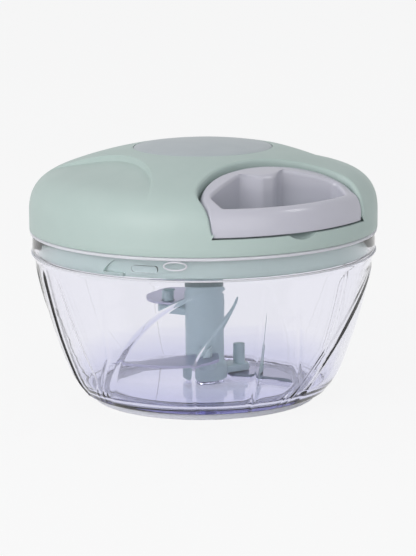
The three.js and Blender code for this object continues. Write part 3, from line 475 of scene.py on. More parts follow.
def rounded(outline, radius, steps=4):
    """An outline with rounded corners, for the moulded look; radius is one number or one per corner."""
    points = []
    for index, corner in enumerate(outline):
        corner, before, after = (Vector(outline[(index + shift) % len(outline)]) for shift in (0, -1, 1))
        reach = radius[index] if isinstance(radius, (list, tuple)) else radius
        reach = min(reach, 0.49 * (before - corner).length, 0.49 * (after - corner).length)
        if reach < 0.01:
            points.append(tuple(corner))
            continue
        start = corner + (before - corner).normalized() * reach
        end = corner + (after - corner).normalized() * reach
        points += [tuple(point) for point in bent(start, corner, end, steps) + [end]]
    return points


def smoothstep(low, high, value):
    """A soft step: 0 below low, 1 above high, and an S curve between them."""
    share = min(max((value - low) / (high - low), 0.0), 1.0)
    return share * share * (3 - 2 * share)


# %% [markdown]
# ## Bowl
# The bowl is one clear moulding. Its wall is spun from a smooth curve. Four leaves stand out from it by
# almost half a millimetre and lean over like a swirl; their edges and veins are what the light catches.
# Each leaf is followed by an upright rib, and by a slanted fold and a crease that are lower. The spun
# columns are shifted so that some of them run exactly along those lines, inside and outside alike, and then
# the outside is raised. That keeps every edge clean, which a boolean on a fine mesh would not.
#
# Three lugs under the rim hold the lid. The rim, the ledge below it and an oval mark on the band shine
# white on the real bowl, so each has a thin milky ring of its own, which is a painted highlight. The oval's
# ring also draws the mark itself.

# %% Bowl: outline
BOWL_RADIUS, BOWL_HEIGHT, WALL = 62.5, 62, 2.3
CURVE = [(0.694, 0.04), (0.733, 0.081), (0.772, 0.137), (0.818, 0.242), (0.884, 0.435), (0.947, 0.677),
         (0.987, 0.871), (1.0, 1.0)]
CURVE = [Vector((radius * BOWL_RADIUS, height * BOWL_HEIGHT)) for radius, height in CURVE]


def catmull_rom(points, share):
    """A point of the smooth curve through points, at a share of its length counted in points."""
    place = share * (len(points) - 1)
    index = min(int(place), len(points) - 2)
    t = place - index
    before, start, end, after = (points[min(max(index + k, 0), len(points) - 1)] for k in (-1, 0, 1, 2))
    leave, arrive = (end - before) / 2, (after - start) / 2
    cubic = 2 * start - 2 * end + leave + arrive
    square = 3 * end - 3 * start - 2 * leave - arrive
    return cubic * t ** 3 + square * t ** 2 + leave * t + start


wall_curve = [catmull_rom(CURVE, step / 1400) for step in range(1401)]


def bowl_radius(height):
    """The wall's outer radius at a height."""
    return next((point.x for point in wall_curve if point.y >= height), BOWL_RADIUS)


BASE, FLOOR, LEDGE, RIM = 2.7, 5.2, 54.0, 62.22
foot_radius = bowl_radius(3.9)
outside = [(foot_radius - 1.3, BASE), (foot_radius - 0.6, BASE + 0.12), (foot_radius - 0.15, BASE + 0.5)]
outside += [(bowl_radius(BASE + 1.2 + 0.8 * step), BASE + 1.2 + 0.8 * step) for step in range(62)]
outside += [(62.0, 53.6), (62.1, 54.2), (62.12, 55.5), (62.1, 57.5), (62.05, 60.3), (62.08, 60.6)]
outside += [(62.05, 61.4), (61.9, RIM)]
inside = [(60.9, RIM), (60.55, RIM - 0.1), (60.4, RIM - 0.4), (60.4, 56.0), (60.4, LEDGE + 0.5),
          (60.3, LEDGE + 0.15), (60.0, LEDGE), (bowl_radius(53.2) - 2.0, LEDGE - 0.06),
          (bowl_radius(53.2) - WALL, 53.2)]
inside += [(bowl_radius(height) - WALL, height) for height in [52 - 1.4 * step for step in range(30)]]
corner_top = Vector((bowl_radius(9.2) - WALL, 9.2))
corner_end = Vector((corner_top.x - 5, FLOOR))
floor_corner = bent(corner_top, (bowl_radius(FLOOR) - WALL, FLOOR), corner_end, 8)
inside += [tuple(point) for point in floor_corner + [corner_end]]
inside += [(30, FLOOR), (20, FLOOR), (10, FLOOR), (5.6, FLOOR), (5.1, 5.35), (4.9, 5.9), (2.6, 5.9),
           (2.3, 5.7), (2.3, 4.1), (4.3, 4.1), (4.3, BASE)]
under = [(20, BASE), (34.1, BASE), (36.4, BASE), (36.4, 3.6), (39.0, 3.6), (39.0, BASE)]
print("bowl's outline:", len(outside) + len(inside) + len(under), "points")

# %% Bowl: leaves
LEAF_TOP, COLUMNS = 50.28, 120
LEAF_DEPTH, MIDDLE_DEPTH, VEIN_DEPTH = 0.46, 0.42, 0.34
RIB_DEPTH, FOLD_DEPTH, CREASE_DEPTH = 0.42, 0.16, 0.2


def leaf_lines(height):
    """One quarter's lines at a height: their angles from the front, and how far each stands out."""
    rise = min(max(height, 0) / LEAF_TOP, 1)
    fade = min(1, (1 - rise) / 0.06) * min(1, (height - BASE) / 1.2)
    leaf = -23.5 - 57 * (1 - rise ** 0.9) ** 0.5
    vein = -22.4 - 15.2 * smoothstep(0, 0.62, 1 - rise)
    crease = min(20.5 - 6.5 * (1 - rise) ** 2, leaf + 83)
    fold = min(-1.5 + 11.8 * (1 - rise), crease - 4)
    lines = [(leaf - 2.9, 0), (leaf - 1.4, 0.2), (leaf, LEAF_DEPTH), ((leaf + vein) / 2, MIDDLE_DEPTH)]
    lines += [(vein, VEIN_DEPTH), (vein + 1.2, 0)]
    lines += [(-13.8, 0), (-13.0, RIB_DEPTH), (-12.0, RIB_DEPTH), (-11.2, 0)]
    for ridge, depth in ((fold, FOLD_DEPTH), (crease, CREASE_DEPTH)):
        lines += [(ridge - 1.3, 0), (ridge, depth), (ridge + 1.3, 0)]
    return [(angle, depth * fade) for angle, depth in lines] + [(leaf - 2.9 + 90, 0)]


# The column, out of the 120 of a quarter, that runs along each of those lines.
LINE_COLUMNS = [0, 2, 4, 22, 40, 43, 54, 57, 59, 62, 68, 71, 74, 84, 87, 90, COLUMNS]
bowl_builder = spun(outside + inside + under, steps=4 * COLUMNS)
rows = bowl_builder.verts.layers.int["row"]
lines_at = {}
for vert in bowl_builder.verts:
    height, raised = vert.co.z, vert[rows] < len(outside)
    turn = math.degrees(math.atan2(vert.co.y, vert.co.x)) / 360 * 4 * COLUMNS
    quarter, column = divmod(round(turn) % (4 * COLUMNS), COLUMNS)
    if height not in lines_at:
        lines_at[height] = leaf_lines(height)
    line = max(k for k in range(len(LINE_COLUMNS) - 1) if LINE_COLUMNS[k] <= column)
    share = (column - LINE_COLUMNS[line]) / (LINE_COLUMNS[line + 1] - LINE_COLUMNS[line])
    (angle, depth), (next_angle, next_depth) = lines_at[height][line:line + 2]
    radius = math.hypot(vert.co.x, vert.co.y) + raised * (depth + (next_depth - depth) * share)
    vert.co.xy = polar(radius, angle + (next_angle - angle) * share + 90 * quarter - 90)
bowl = to_object(bowl_builder, "clear_bowl")

# %% Bowl: lugs and painted highlight rings
LUG_ANGLE = -52.3
MARK_ANGLE, MARK_RADIUS, MARK_HEIGHT = -41.8, 62.4, 59.2
MARK_HALF_WIDTH, MARK_HALF_HEIGHT, MARK_LINE = 3.9, 1.4, 0.3
lugs = []
for index in range(3):
    lug = shaped(bmesh.ops.create_cube, (2.0, 9.4, 2.4), (0, 0, 57.5), size=1)
    ends = [edge for edge in lug.edges if abs(edge.verts[0].co.x - edge.verts[1].co.x) > 1]
    bmesh.ops.bevel(lug, geom=ends, offset=1.1, segments=6, profile=0.5, affect="EDGES", material=-1)
    lugs.append(placed(lug, 60.3, LUG_ANGLE - 90 + 120 * index))
oval = []
for across, up in circle(1, 96):
    section = []
    for wide, proud in circle(MARK_LINE, 10):
        angle = MARK_ANGLE - 90 + math.degrees((MARK_HALF_WIDTH + wide) * across / 62.1)
        height = MARK_HEIGHT + (MARK_HALF_HEIGHT + wide) * up
        section.append(Vector((*polar(MARK_RADIUS + proud, angle), height)))
    oval.append(section)
combine(bowl, joined(lugs), "UNION")
finish_piece(bowl, "bowl", clear, ["bowl"], sharp=40)
# The oval and the two rings are painted highlights, white where the clear bowl's rim, ledge and oval shine.
mark = to_object(looped(oval), "oval_mark_painted_highlight")
finish_piece(mark, "bowl", soft_clear_and_highlight, [], sharp=60)
for name, radius, height, size in (("rim_painted_highlight", 62.2, 61.55, 0.62), ("ledge_painted_highlight", 62.2, 54.0, 0.34)):
    ring = spun(circle(size, 16, (radius, height)), steps=288)
    finish_piece(to_object(ring, name), "bowl", soft_clear_and_highlight, [], sharp=60)

# %% [markdown]
# ## Lid
# The lid's cap is a shallow dome of 147 mm radius with a rounded shoulder. A thumb scoop is pressed into
# it at each side: an arc that steps down softly and whose floor runs out into the shoulder. The dome is
# spun, the mesh is made finer only along those two arcs, and every outside point is then set to the
# height that the mould would have there.

# %% Lid: the mould's surface
LID_BOTTOM, LID_TOP, LID_RADIUS, WALL_TOP = 62.3, 93.4, 63.0, 69.0
CAP_RADIUS, SHOULDER, SHELL, BADGE_DEPTH = 147.0, 51.0, 2.2, 1.5


def cap_height(radius):
    """The height of the dome's cap, which is part of a ball."""
    return LID_TOP - CAP_RADIUS + math.sqrt(CAP_RADIUS ** 2 - radius ** 2)


def on_cap(radii, depth=0.0):
    """Outline points on the cap, or a depth below it."""
    return [(radius, cap_height(radius) - depth) for radius in radii]


slope = math.asin(SHOULDER / CAP_RADIUS)
edge = Vector((SHOULDER, cap_height(SHOULDER)))
handles = [Vector((LID_RADIUS, WALL_TOP)), Vector((LID_RADIUS, WALL_TOP + 8)),
           edge + 9 * Vector((math.cos(slope), -math.sin(slope))), edge]


def shoulder_point(t):
    """A point of the Bezier curve from the wall's top at t = 0 to the cap's edge at t = 1."""
    weights = ((1 - t) ** 3, 3 * t * (1 - t) ** 2, 3 * t * t * (1 - t), t ** 3)
    return sum((weight * handle for weight, handle in zip(weights, handles)), Vector((0, 0)))


shoulder = [shoulder_point(step / 200) for step in range(201)]


def dome_height(radius):
    """The height of the plain dome at a radius, by straight steps between points of the shoulder."""
    if radius <= SHOULDER:
        return cap_height(radius)
    index = next(k for k in range(1, 201) if shoulder[k].x <= min(radius, LID_RADIUS - 0.001))
    outer, inner = shoulder[index - 1], shoulder[index]
    return inner.y + (outer.y - inner.y) * (min(radius, LID_RADIUS) - inner.x) / (outer.x - inner.x)


SCOOP_EDGE, SCOOP_RADIUS, SCOOP_DEPTH = 30.4, 51.6, 2.0


def into_scoop(x, y):
    """How far a point lies inside the nearer scoop's arc."""
    return SCOOP_RADIUS - math.hypot(abs(x) - SCOOP_EDGE - SCOOP_RADIUS, y)


def lid_height(x, y):
    """The height of the mould's surface, scoops included."""
    radius = math.hypot(x, y)
    depth = SCOOP_DEPTH * (1 - smoothstep(38, 60, radius))
    return dome_height(radius) - depth * smoothstep(0, 0.85, into_scoop(x, y))


# %% Lid: shell
over = [tuple(shoulder_point(step / 16)) for step in range(17)]
over += on_cap([SHOULDER - 0.7 * step for step in range(1, 34)] + [26.5, 25.3, 24, 20, 14, 7, 0])
over = [(62.6, LID_BOTTOM), (62.88, LID_BOTTOM + 0.08), (LID_RADIUS, LID_BOTTOM + 0.3), (LID_RADIUS, 65.0),
        (LID_RADIUS, 67.0)] + over
lid_builder = spun([(0, LID_BOTTOM)] + over, steps=384)


def near_step(vert):
    """Whether a point of the dome lies close to the step down into a scoop."""
    x, y, height = vert.co
    return height > 76 and math.hypot(x, y) < 60 and -1.2 < into_scoop(x, y) < 2.4


for _ in range(2):
    near = [edge for edge in lid_builder.edges if all(near_step(vert) for vert in edge.verts)]
    bmesh.ops.subdivide_edges(lid_builder, edges=near, cuts=1, use_grid_fill=True)
for vert in lid_builder.verts:
    if vert.co.z > WALL_TOP + 0.5:
        vert.co.z = lid_height(vert.co.x, vert.co.y)
lid = to_object(lid_builder, "lid_dome")

scoop_outer = next(point for point in reversed(shoulder) if point.x > 58)
scoop_floor, inside_top = cap_height(SCOOP_EDGE) - SCOOP_DEPTH, LID_TOP - BADGE_DEPTH - SHELL
cavity = [(0, LID_BOTTOM - 5), (62.1, LID_BOTTOM - 5), (62.1, 63.9), (60.8, 63.9), (60.8, WALL_TOP),
          (scoop_outer.x - SHELL, scoop_outer.y - SHELL), (SCOOP_EDGE, scoop_floor - SHELL),
          (0, inside_top)]
cavity_object = to_object(spun(cavity, steps=192), "cavity")
print("lid's dome:", len(lid.data.polygons), "faces")

# %% [markdown]
# ## Handle bay
# The bay that the handle nests in is cut through the dome. On the real lid its rim is rounded, and that
# round rim catches a light line all the way along. So the cutter isn't a plain prism: it is lofted
# through rings that follow the dome and flare outwards near its surface.


# %% Handle bay
def rear_corner(half, rear, radius, across=7.0, along=5.0):
    """A plan's rear corner: the side's end, the corner, the rear arc's end and the arc's centre."""
    spread, centre = half - across, rear - radius
    arc_end = Vector((spread, centre + math.sqrt(radius ** 2 - spread ** 2)))
    corner = Vector((half, arc_end.y - across * spread / (arc_end.y - centre)))
    return corner - Vector((0, along)), corner, arc_end, centre


def rear_arc(arc_end, centre, radius, shares):
    """Points of a plan's rear arc; share 0 is its middle and 1 its end."""
    turns = [math.asin(arc_end.x / radius) * share for share in shares]
    return [(radius * math.sin(turn), centre + radius * math.cos(turn)) for turn in turns]


def bay_plan(wider=0.0):
    """The bay's plan, from its front right round the rear to its front left."""
    half, rear, radius = 31.9 + wider, -31.3 + wider, 46.0
    side_end, corner, arc_end, centre = rear_corner(half, rear, radius)
    points = [(half, -68 + 2.2 * step) for step in range(5)]
    round_corner = between((half, -57), side_end, 12) + bent(side_end, corner, arc_end, 12)
    points += [tuple(point) for point in round_corner]
    points += rear_arc(arc_end, centre, radius, [1 - step / 20 for step in range(21)])
    return points + [(-x, y) for x, y in reversed(points[:-1])]


def on_dome(x, y):
    """A point of the lid's surface above a plan point, with the surface's normal there."""
    radius, step = math.hypot(x, y), 0.015
    held = min(radius, LID_RADIUS - 0.02)
    fall = (dome_height(held - step) - dome_height(held + step)) / (2 * step)
    normal = Vector((x / radius * fall, y / radius * fall, 1)).normalized()
    return Vector((x, y, dome_height(held))), normal


def flared_cutter(plan, floor, flares):
    """A cutter whose wall follows the dome; flares are (outwards, upwards) from the surface."""
    rings = [[Vector((x, y, floor)) for x, y in plan]]
    count = len(plan)
    for outwards, upwards in flares:
        ring = []
        for index, (x, y) in enumerate(plan):
            (x0, y0), (x1, y1) = plan[index - 1], plan[(index + 1) % count]
            if index in (0, count - 1):
                out = Vector((math.copysign(1, x), 0, 0))
            else:
                out = Vector((y1 - y0, x0 - x1, 0)).normalized()
            place, normal = on_dome(x, y)
            along = (out - normal * out.dot(normal)).normalized()
            ring.append(place + along * outwards + normal * upwards)
        rings.append(ring)
    rings.append([Vector((point.x, point.y, 120)) for point in rings[-1]])
    builder = bmesh.new()
    loops = []
    for ring in rings:
        verts = [builder.verts.new(point) for point in ring]
        loops.append([builder.edges.new(pair) for pair in zip(verts, verts[1:] + verts[:1])])
    for low, high in zip(loops, loops[1:]):
        bmesh.ops.bridge_loops(builder, edges=low + high)
    for loop in (loops[0], loops[-1]):
        bmesh.ops.contextual_create(builder, geom=loop)
    bmesh.ops.triangulate(builder, faces=[face for face in builder.faces if len(face.verts) > 4])
    return outward(builder)


BAY_FLOOR = 68.3
FLARES = [(0.0, -1.6), (0.06, -0.9), (0.24, -0.42), (0.55, -0.12), (0.95, 0.03), (1.6, 0.6)]
combine(cavity_object, flared_cutter(bay_plan(SHELL), BAY_FLOOR - 2.8, [(0.0, -0.5), (0.0, 1.0)]))
cavity_builder = bmesh.new()
cavity_builder.from_mesh(cavity_object.data)
bmesh.ops.scale(cavity_builder, vec=(1 / MM, 1 / MM, 1 / MM), verts=cavity_builder.verts)
bpy.data.objects.remove(cavity_object)
combine(lid, cavity_builder)
combine(lid, flared_cutter(bay_plan(), BAY_FLOOR, FLARES))

ball = bmesh.ops.create_uvsphere
notch = (0, -LID_RADIUS, BAY_FLOOR + 7.8)
combine(lid, shaped(ball, (9.6, 7.5, 9.6), notch, u_segments=96, v_segments=64, radius=1))
recess = on_cap((0, 8, 16, 21, 24.9, 25.12), BADGE_DEPTH) + [(25.12, 100), (0, 100)]
combine(lid, spun(recess, steps=192))
print("lid after its cuts:", len(lid.data.polygons), "faces")

# %% Lid: bores, bosses and spring chamber
CORD_HEIGHT = 74.0
SCREW_RADIUS, SCREW_ANGLES, POST_RADIUS = 47.1, (90, 200, 340), 28.4


def cord_bore(radius, near, far, steps):
    """A level plug at the cord's height, from one distance in front of the axis to another."""
    builder = plug(radius, near, far, steps)
    lying = Quaternion((1, 0, 0), math.radians(90)).to_matrix()
    bmesh.ops.rotate(builder, matrix=lying, verts=builder.verts)
    bmesh.ops.translate(builder, vec=(0, 0, CORD_HEIGHT), verts=builder.verts)
    return builder


def roof(radius, lift=0.9):
    """A height inside the lid's roof, just above its underside, for bosses to end in."""
    inner, outer = scoop_floor - SHELL, scoop_outer.y - SHELL
    if radius < SCOOP_EDGE:
        return inside_top + (inner - inside_top) * radius / SCOOP_EDGE + lift
    return inner + (outer - inner) * (radius - SCOOP_EDGE) / (scoop_outer.x - SHELL - SCOOP_EDGE) + lift


def boss(inner, outer, low, at=0):
    """A tube that hangs from the lid's roof at a distance from the axis, its lower rim broken."""
    outline = [(inner, low), (outer - 0.2, low), (outer, low + 0.2)]
    outline += [(outer, roof(at or outer)), (inner, roof(at or inner))]
    return spun(outline, steps=96 if outer > 10 else 40)


combine(lid, cord_bore(3.0, 28, 40, 48))
bosses = [boss(24.4, 25.8, 78.5), boss(2.3, 5.0, 86.3)]
bosses += [placed(boss(1.55, 3.3, 78.5, POST_RADIUS), POST_RADIUS, angle) for angle in (45, 135, 225, 315)]
bosses += [placed(boss(1.55, 3.3, 61.7, SCREW_RADIUS), SCREW_RADIUS, angle) for angle in SCREW_ANGLES]
for made in bosses:
    combine(lid, made, "UNION")
finish_piece(lid, "lid", sage, ["lid_shell"], sharp=38)

# %% [markdown]
# ## Badge disc
# A thin disc is pressed flush into the top of the lid. It stays bare. Its edge is rounded by a third of a
# millimetre, as a moulded disc's is, so a fine line shows between it and the lid.

# %% Badge disc
badge_outline = on_cap((0, 8, 16, 21, 24.8), 1.2)
badge_edge = cap_height(25)
badge_outline += [(25.0, badge_edge - 1.0), (25.0, badge_edge - 0.35), (24.92, badge_edge - 0.12)]
badge_outline += on_cap((24.7, 22, 18, 14, 10, 6, 3, 0))
badge = to_object(spun(badge_outline, steps=192), "badge_plate")
finish_piece(badge, "lid", badge_grey, ["badge_disc"], sharp=50)

# %% [markdown]
# ## Pull handle
# The handle is a ring that four fingers go through. Its outside follows the bay and the dome, its hole
# has straight slanted rear walls, and a wave in the rear wall holds the cord's knot. It is drawn as a
# loop of cross-sections: each runs from the outer plan to the inner one, with a large radius outside and
# a smaller one at the hole.

# %% Pull handle: plans
BAR_RADIUS, HOLE_RADIUS, HANDLE_BOTTOM, HANDLE_DROP = 62.45, 57.9, 68.8, 1.6


def lower_of(a, b, blend):
    """The lower of two heights, with the crease between them rounded over."""
    share = min(max(0.5 + 0.5 * (b - a) / blend, 0), 1)
    return b + (a - b) * share - blend * share * (1 - share)


def handle_top(x, y):
    """The handle's top: it follows the dome, then slants and falls steeply at the bar's face."""
    radius = math.hypot(x, y)
    over = dome_height(min(radius * 63 / 62.5, LID_RADIUS)) - HANDLE_DROP
    over += 0.9 * smoothstep(57.5, 61, radius)
    slant = 78.9 - (radius - HOLE_RADIUS) * 0.5
    face = 76.6 - (radius - 62.1) * 20.0
    return lower_of(lower_of(over, slant, 0.8), face, 1.6)


def swept(radius, start, end, count):
    """Points of an arc round the lid's axis; angles in degrees from the front."""
    return [polar(radius, start + (end - start) * step / count - 90) for step in range(count)]


def outer_half():
    """The right half of the outer plan, from the rear's middle round to the front's."""
    half, rear, radius = 31.2, -32.0, 45.3
    side_end, corner, arc_end, centre = rear_corner(half, rear, radius)
    points = [Vector(point) for point in rear_arc(arc_end, centre, radius, [k / 22 for k in range(22)])]
    front = math.degrees(math.asin(half / BAR_RADIUS))
    front_corner = polar(BAR_RADIUS, front - 90)
    front_end = front_corner + Vector((0, 1))
    points += bent(arc_end, corner, side_end, 12) + between(side_end, front_end, 8)
    points += bent(front_end, front_corner, polar(BAR_RADIUS, front - 1 - 90), 6)
    return points + swept(BAR_RADIUS, front - 1, 0, 30)


def inner_half():
    """The right half of the hole's plan, in the same number of points as the outer one."""
    tip, rear, low, side = -41.6, -37.1, -44.9, 26.0
    wave = [Vector((x, tip + (rear - 0.44 * max(x - 8.6, 0) - tip) * smoothstep(1.5, 9.5, x)))
            for x in [11.5 * k / 22 for k in range(22)]]
    start = wave[-1] + (wave[-1] - wave[-2])
    corner, side_start = Vector((side + 0.3, low)), Vector((side, low - 2.6))
    corner_start = corner.lerp(start, 0.14)
    points = wave + between(start, corner_start, 6) + bent(corner_start, corner, side_start, 6)
    front = math.degrees(math.asin(25.6 / HOLE_RADIUS))
    front_corner = polar(HOLE_RADIUS, front - 90)
    side_end = front_corner + Vector((0.1, 1.6))
    points += between(side_start, side_end, 8)
    points += bent(side_end, front_corner, polar(HOLE_RADIUS, front - 1.6 - 90), 6)
    return points + swept(HOLE_RADIUS, front - 1.6, 0, 30)


def mirrored(half, radius):
    """A whole plan from its right half and the radius of its front."""
    return half + [Vector((0, -radius))] + [Vector((-point.x, point.y)) for point in reversed(half[1:])]


outer_plan, inner_plan = mirrored(outer_half(), BAR_RADIUS), mirrored(inner_half(), HOLE_RADIUS)
print("handle:", len(outer_plan), "sections, hole's plan", len(inner_plan))


# %% Pull handle: sections
def handle_section(outer, inner):
    """One closed cross-section: up the outside, over the rounded rim and down the hole's drafted wall."""
    span = (inner - outer).length
    front = smoothstep(58, 62, outer.length)
    outer_round, inner_round = 2.2 * (1 - front) + 0.2 * front, 1.5
    points = [(0.25, HANDLE_BOTTOM), (0.05, HANDLE_BOTTOM + 0.07), (0.0, HANDLE_BOTTOM + 0.2)]

    def top(reach):
        """The height of the top at a distance inwards, lowered near its two rims to round them."""
        share = reach / span
        place = outer.lerp(inner, share)
        drop = 0.0
        for edge, size in ((reach, outer_round), (span - reach, inner_round)):
            if edge < size:
                drop += size - math.sqrt(max(size ** 2 - (size - edge) ** 2, 0))
        return handle_top(*place) - drop

    rim = top(0)
    points += [(0.0, HANDLE_BOTTOM + (rim - HANDLE_BOTTOM) * share) for share in (0.35, 0.7, 1.0)]
    middle = min(3.2, span * 0.6)
    reaches = [middle * (k / 13) ** 1.7 for k in range(1, 14)]
    reaches += [middle + (span - inner_round - middle) * k / 5 for k in range(1, 5)]
    reaches += [span - inner_round * (1 - math.cos(math.radians(90 * (1 - k / 6)))) for k in range(7)]
    points += [(reach, top(reach)) for reach in reaches]
    low = top(span)
    points += [(span - 0.12 * share, low + (HANDLE_BOTTOM - low) * share) for share in (0.3, 0.6, 0.95)]
    points += [(span - 0.3, HANDLE_BOTTOM + 0.1), (span - 0.6, HANDLE_BOTTOM)]
    towards = (inner - outer).normalized()
    return [Vector((*(outer + towards * reach), height)) for reach, height in points]


handle_sections = [handle_section(outer, inner) for outer, inner in zip(outer_plan, inner_plan)]
handle = to_object(looped(handle_sections), "pull_handle_ring")
combine(handle, cord_bore(1.6, 28, 36, 32))
KNOT = Vector((0, -36.0, CORD_HEIGHT))
combine(handle, shaped(ball, (2.9, 2.9, 2.9), KNOT, u_segments=32, v_segments=24, radius=1))
combine(handle, shaped(bmesh.ops.create_cube, (5.8, 5.5, 10), (0, -36.15, 69), size=1))
finish_piece(handle, "handle", lilac, ["pull_handle"], sharp=48)

# %% [markdown]
# ## Lower cover
# The cover closes the lid from below and its skirt goes down inside the bowl's clear rim, where it shows.
# Its three slots let the bowl's lugs in and then lock them, so each has an open foot and a channel with a
# rounded end. Each slot is drawn flat, as angle and height, then extruded and wrapped round the skirt
# before it is cut.

# %% Lower cover
cover_outline = [(7.4, 57), (57.9, 57), (57.9, 54.3), (60.1, 54.3), (60.1, 64.6), (57.9, 64.6), (57.9, 59),
                 (9.8, 59), (9.8, 64.7), (7.4, 64.7)]
cover_rounds = [0.3, 0.6, 0.4, 0.6, 0.3, 0.2, 0.6, 0.8, 0.3, 0.3]
cover = to_object(spun(rounded(cover_outline, cover_rounds), steps=288), "lower_cover")
pad = [(0, 58), (5.2, 58), (5.2, 61.2), (5.0, 61.4), (0, 61.4)]
screw_way = [(0, 50), (2.9, 50), (2.9, 59.2), (1.55, 59.2), (1.55, 70), (0, 70)]
for outline, steps, operation in ((pad, 48, "UNION"), (screw_way, 32, "DIFFERENCE")):
    rounds = [placed(spun(outline, steps), SCREW_RADIUS, angle) for angle in SCREW_ANGLES]
    combine(cover, joined(rounds), operation)


def slot_cutter(middle):
    """A bayonet slot, drawn as (degrees, height) and wrapped onto the skirt."""
    flat = [(7.5, 53.5), (7.5, 60.1), (7.3, 60.55), (6.8, 60.7), (-6.5, 60.7), (-9, 60.5), (-11, 59.8),
            (-12.8, 58.6), (-14.2, 57.1), (-15.2, 55.5), (-7.5, 55.5), (-7.5, 53.5)]
    fine = []
    for (a, h), (b, k) in zip(flat, flat[1:] + flat[:1]):
        steps = max(1, round(abs(b - a) / 1.5))
        fine += [(a + (b - a) * step / steps, h + (k - h) * step / steps) for step in range(steps)]
    builder = prism(fine, 59.0, 61.5)
    bmesh.ops.triangulate(builder, faces=[face for face in builder.faces if len(face.verts) > 4])
    for vert in builder.verts:
        angle, height, radius = vert.co
        vert.co = (*polar(radius, angle + middle - 90), height)
    return outward(builder)


combine(cover, joined([slot_cutter(LUG_ANGLE + 120 * index) for index in range(3)]))
# The cover's lighter sage is painted light, standing in for light lost behind the bowl's wall.
finish_piece(cover, "lid", sage_painted_lighter, ["lid_base"], sharp=38)

# %% [markdown]
# ## Seal and foot
# Two soft rings: a silicone seal with two lips under the lid, and the translucent foot that keeps the
# bowl from sliding. Both are spun from outlines with every corner rounded, because soft mouldings have no
# sharp edges.

# %% Seal and foot
seal_outline = [(60.42, 62.3), (61.78, 62.3), (61.78, 63.5), (61.4, 63.6), (61.1, 63.15), (60.8, 63.6),
                (60.42, 63.5)]
seal = to_object(spun(rounded(seal_outline, 0.18), steps=240), "silicone_seal")
finish_piece(seal, "seal", silicone, ["lid_seal"], sharp=60)
foot_outline = [(34.5, 0), (40.95, 0), (40.95, 2.4), (38.72, 2.4), (38.72, 3.3), (36.72, 3.3), (36.72, 2.4),
                (34.5, 2.4)]
foot_rounds = [0.6, 0.8, 0.7, 0.1, 0.3, 0.3, 0.1, 0.5]
foot = to_object(spun(rounded(foot_outline, foot_rounds), steps=240), "soft_foot")
finish_piece(foot, "bowl", soft_clear_and_highlight, ["foot_ring"], sharp=60)

# %% [markdown]
# ## Blade spindle
# The column, its hub and the three arms are one nylon moulding. The column is spun; each arm is a short
# beam with a round end and soft edges, with a peg that stands up through the blade. Booleans join them,
# and two jaws on top of the column take the drive.

# %% Blade spindle
column = [(0, 6.2), (7.8, 6.2), (8.2, 6.6), (8.2, 11.3), (8.0, 11.8), (7.4, 12.5), (7.15, 13.2),
          (7.1, 14.2), (7.1, 40.5), (6.6, 41), (0, 41)]
spindle = to_object(spun(column, steps=96), "spindle_column")
PEG_REACH, ARM_HALF = 15, 3.8
# Each arm's angle, its top, how far its peg stands above that, and whether the peg hangs below it.
ARMS = [(-1, 10.1, 6.9, True), (239, 16.1, 5.1, False), (119, 32.4, 5.1, False)]
for angle, top, peg, hung in ARMS:
    plan = [(5.5, -ARM_HALF), (PEG_REACH, -ARM_HALF)]
    plan += [polar(ARM_HALF, turn) + Vector((PEG_REACH, 0)) for turn in range(-75, 90, 15)]
    plan += [(PEG_REACH, ARM_HALF), (5.5, ARM_HALF)]
    arm = prism(plan, top - 3, top)
    rims = [edge for edge in arm.edges if abs(edge.verts[0].co.z - edge.verts[1].co.z) < 0.1]
    bmesh.ops.bevel(arm, geom=rims, offset=0.5, segments=3, profile=0.5, affect="EDGES", material=-1)
    combine(spindle, placed(arm, 0, angle), "UNION")
    low = top - 4.2 if hung else top - 1.5
    end = top + peg
    knob = [(0, low), (1.5, low), (1.5, top - 1.5), (2.2, top - 1.4), (2.2, end - 0.45), (2.06, end - 0.13),
            (1.75, end), (0, end)]
    combine(spindle, placed(spun(knob, steps=40), PEG_REACH, angle), "UNION")
core = spun([(0, 38), (2.4, 38), (2.4, 47.7), (2.1, 48), (0, 48)], steps=40)
combine(spindle, core, "UNION")
for side in (0, 180):
    jaw = [(1.2, -0.6)] + [polar(5.2, turn) for turn in range(-38, 39, 4)] + [(1.2, 0.6)]
    combine(spindle, placed(prism(jaw, 37.5, 48), 0, side), "UNION")
combine(spindle, plug(2.3, 5, 28.3))
# The spindle's colour is painted lighter, for the dim light it gets inside the clear bowl.
finish_piece(spindle, "blades", slate_sage_painted_lighter, ["blade_spindle"], sharp=40)

# %% [markdown]
# ## Blades
# Each blade is stamped from 0.9 mm sheet and ground on its hollow side, which leaves a bright bevel about
# 1.2 mm wide. The plan is filled and extruded; an inset of its top face marks the bevel's inner line, and
# the top's outer line then goes down to a thin edge along the ground side only.

# %% Blades
SHEET = 0.9
# Each blade's name, its solid, its angle, its tip's radius and sweep, its underside and its hole's
# radius.
BLADES = [("low_blade", "lower_blade", -1, 34.5, 50, 5.9, 1.8),
          ("mid_blade", "middle_blade", 239, 38.7, 60, 16.4, 2.5),
          ("high_blade", "upper_blade", 119, 37.0, 57, 32.7, 2.5)]


def blade_plan(reach, sweep):
    """The hollow, ground side of a blade from its heel to its tip, and its whole plan."""
    tip, throat = polar(reach, -sweep), polar(0.6 * reach, -0.72 * sweep)
    belly = polar(0.97 * reach, -0.14 * sweep)
    hollow = bent((9.2, -4.6), throat, tip, 14) + [tip]
    return hollow, hollow + bent(tip, belly, (18.4, 4.6), 14)[1:] + [(18.4, 4.6), (9.2, 4.6)]


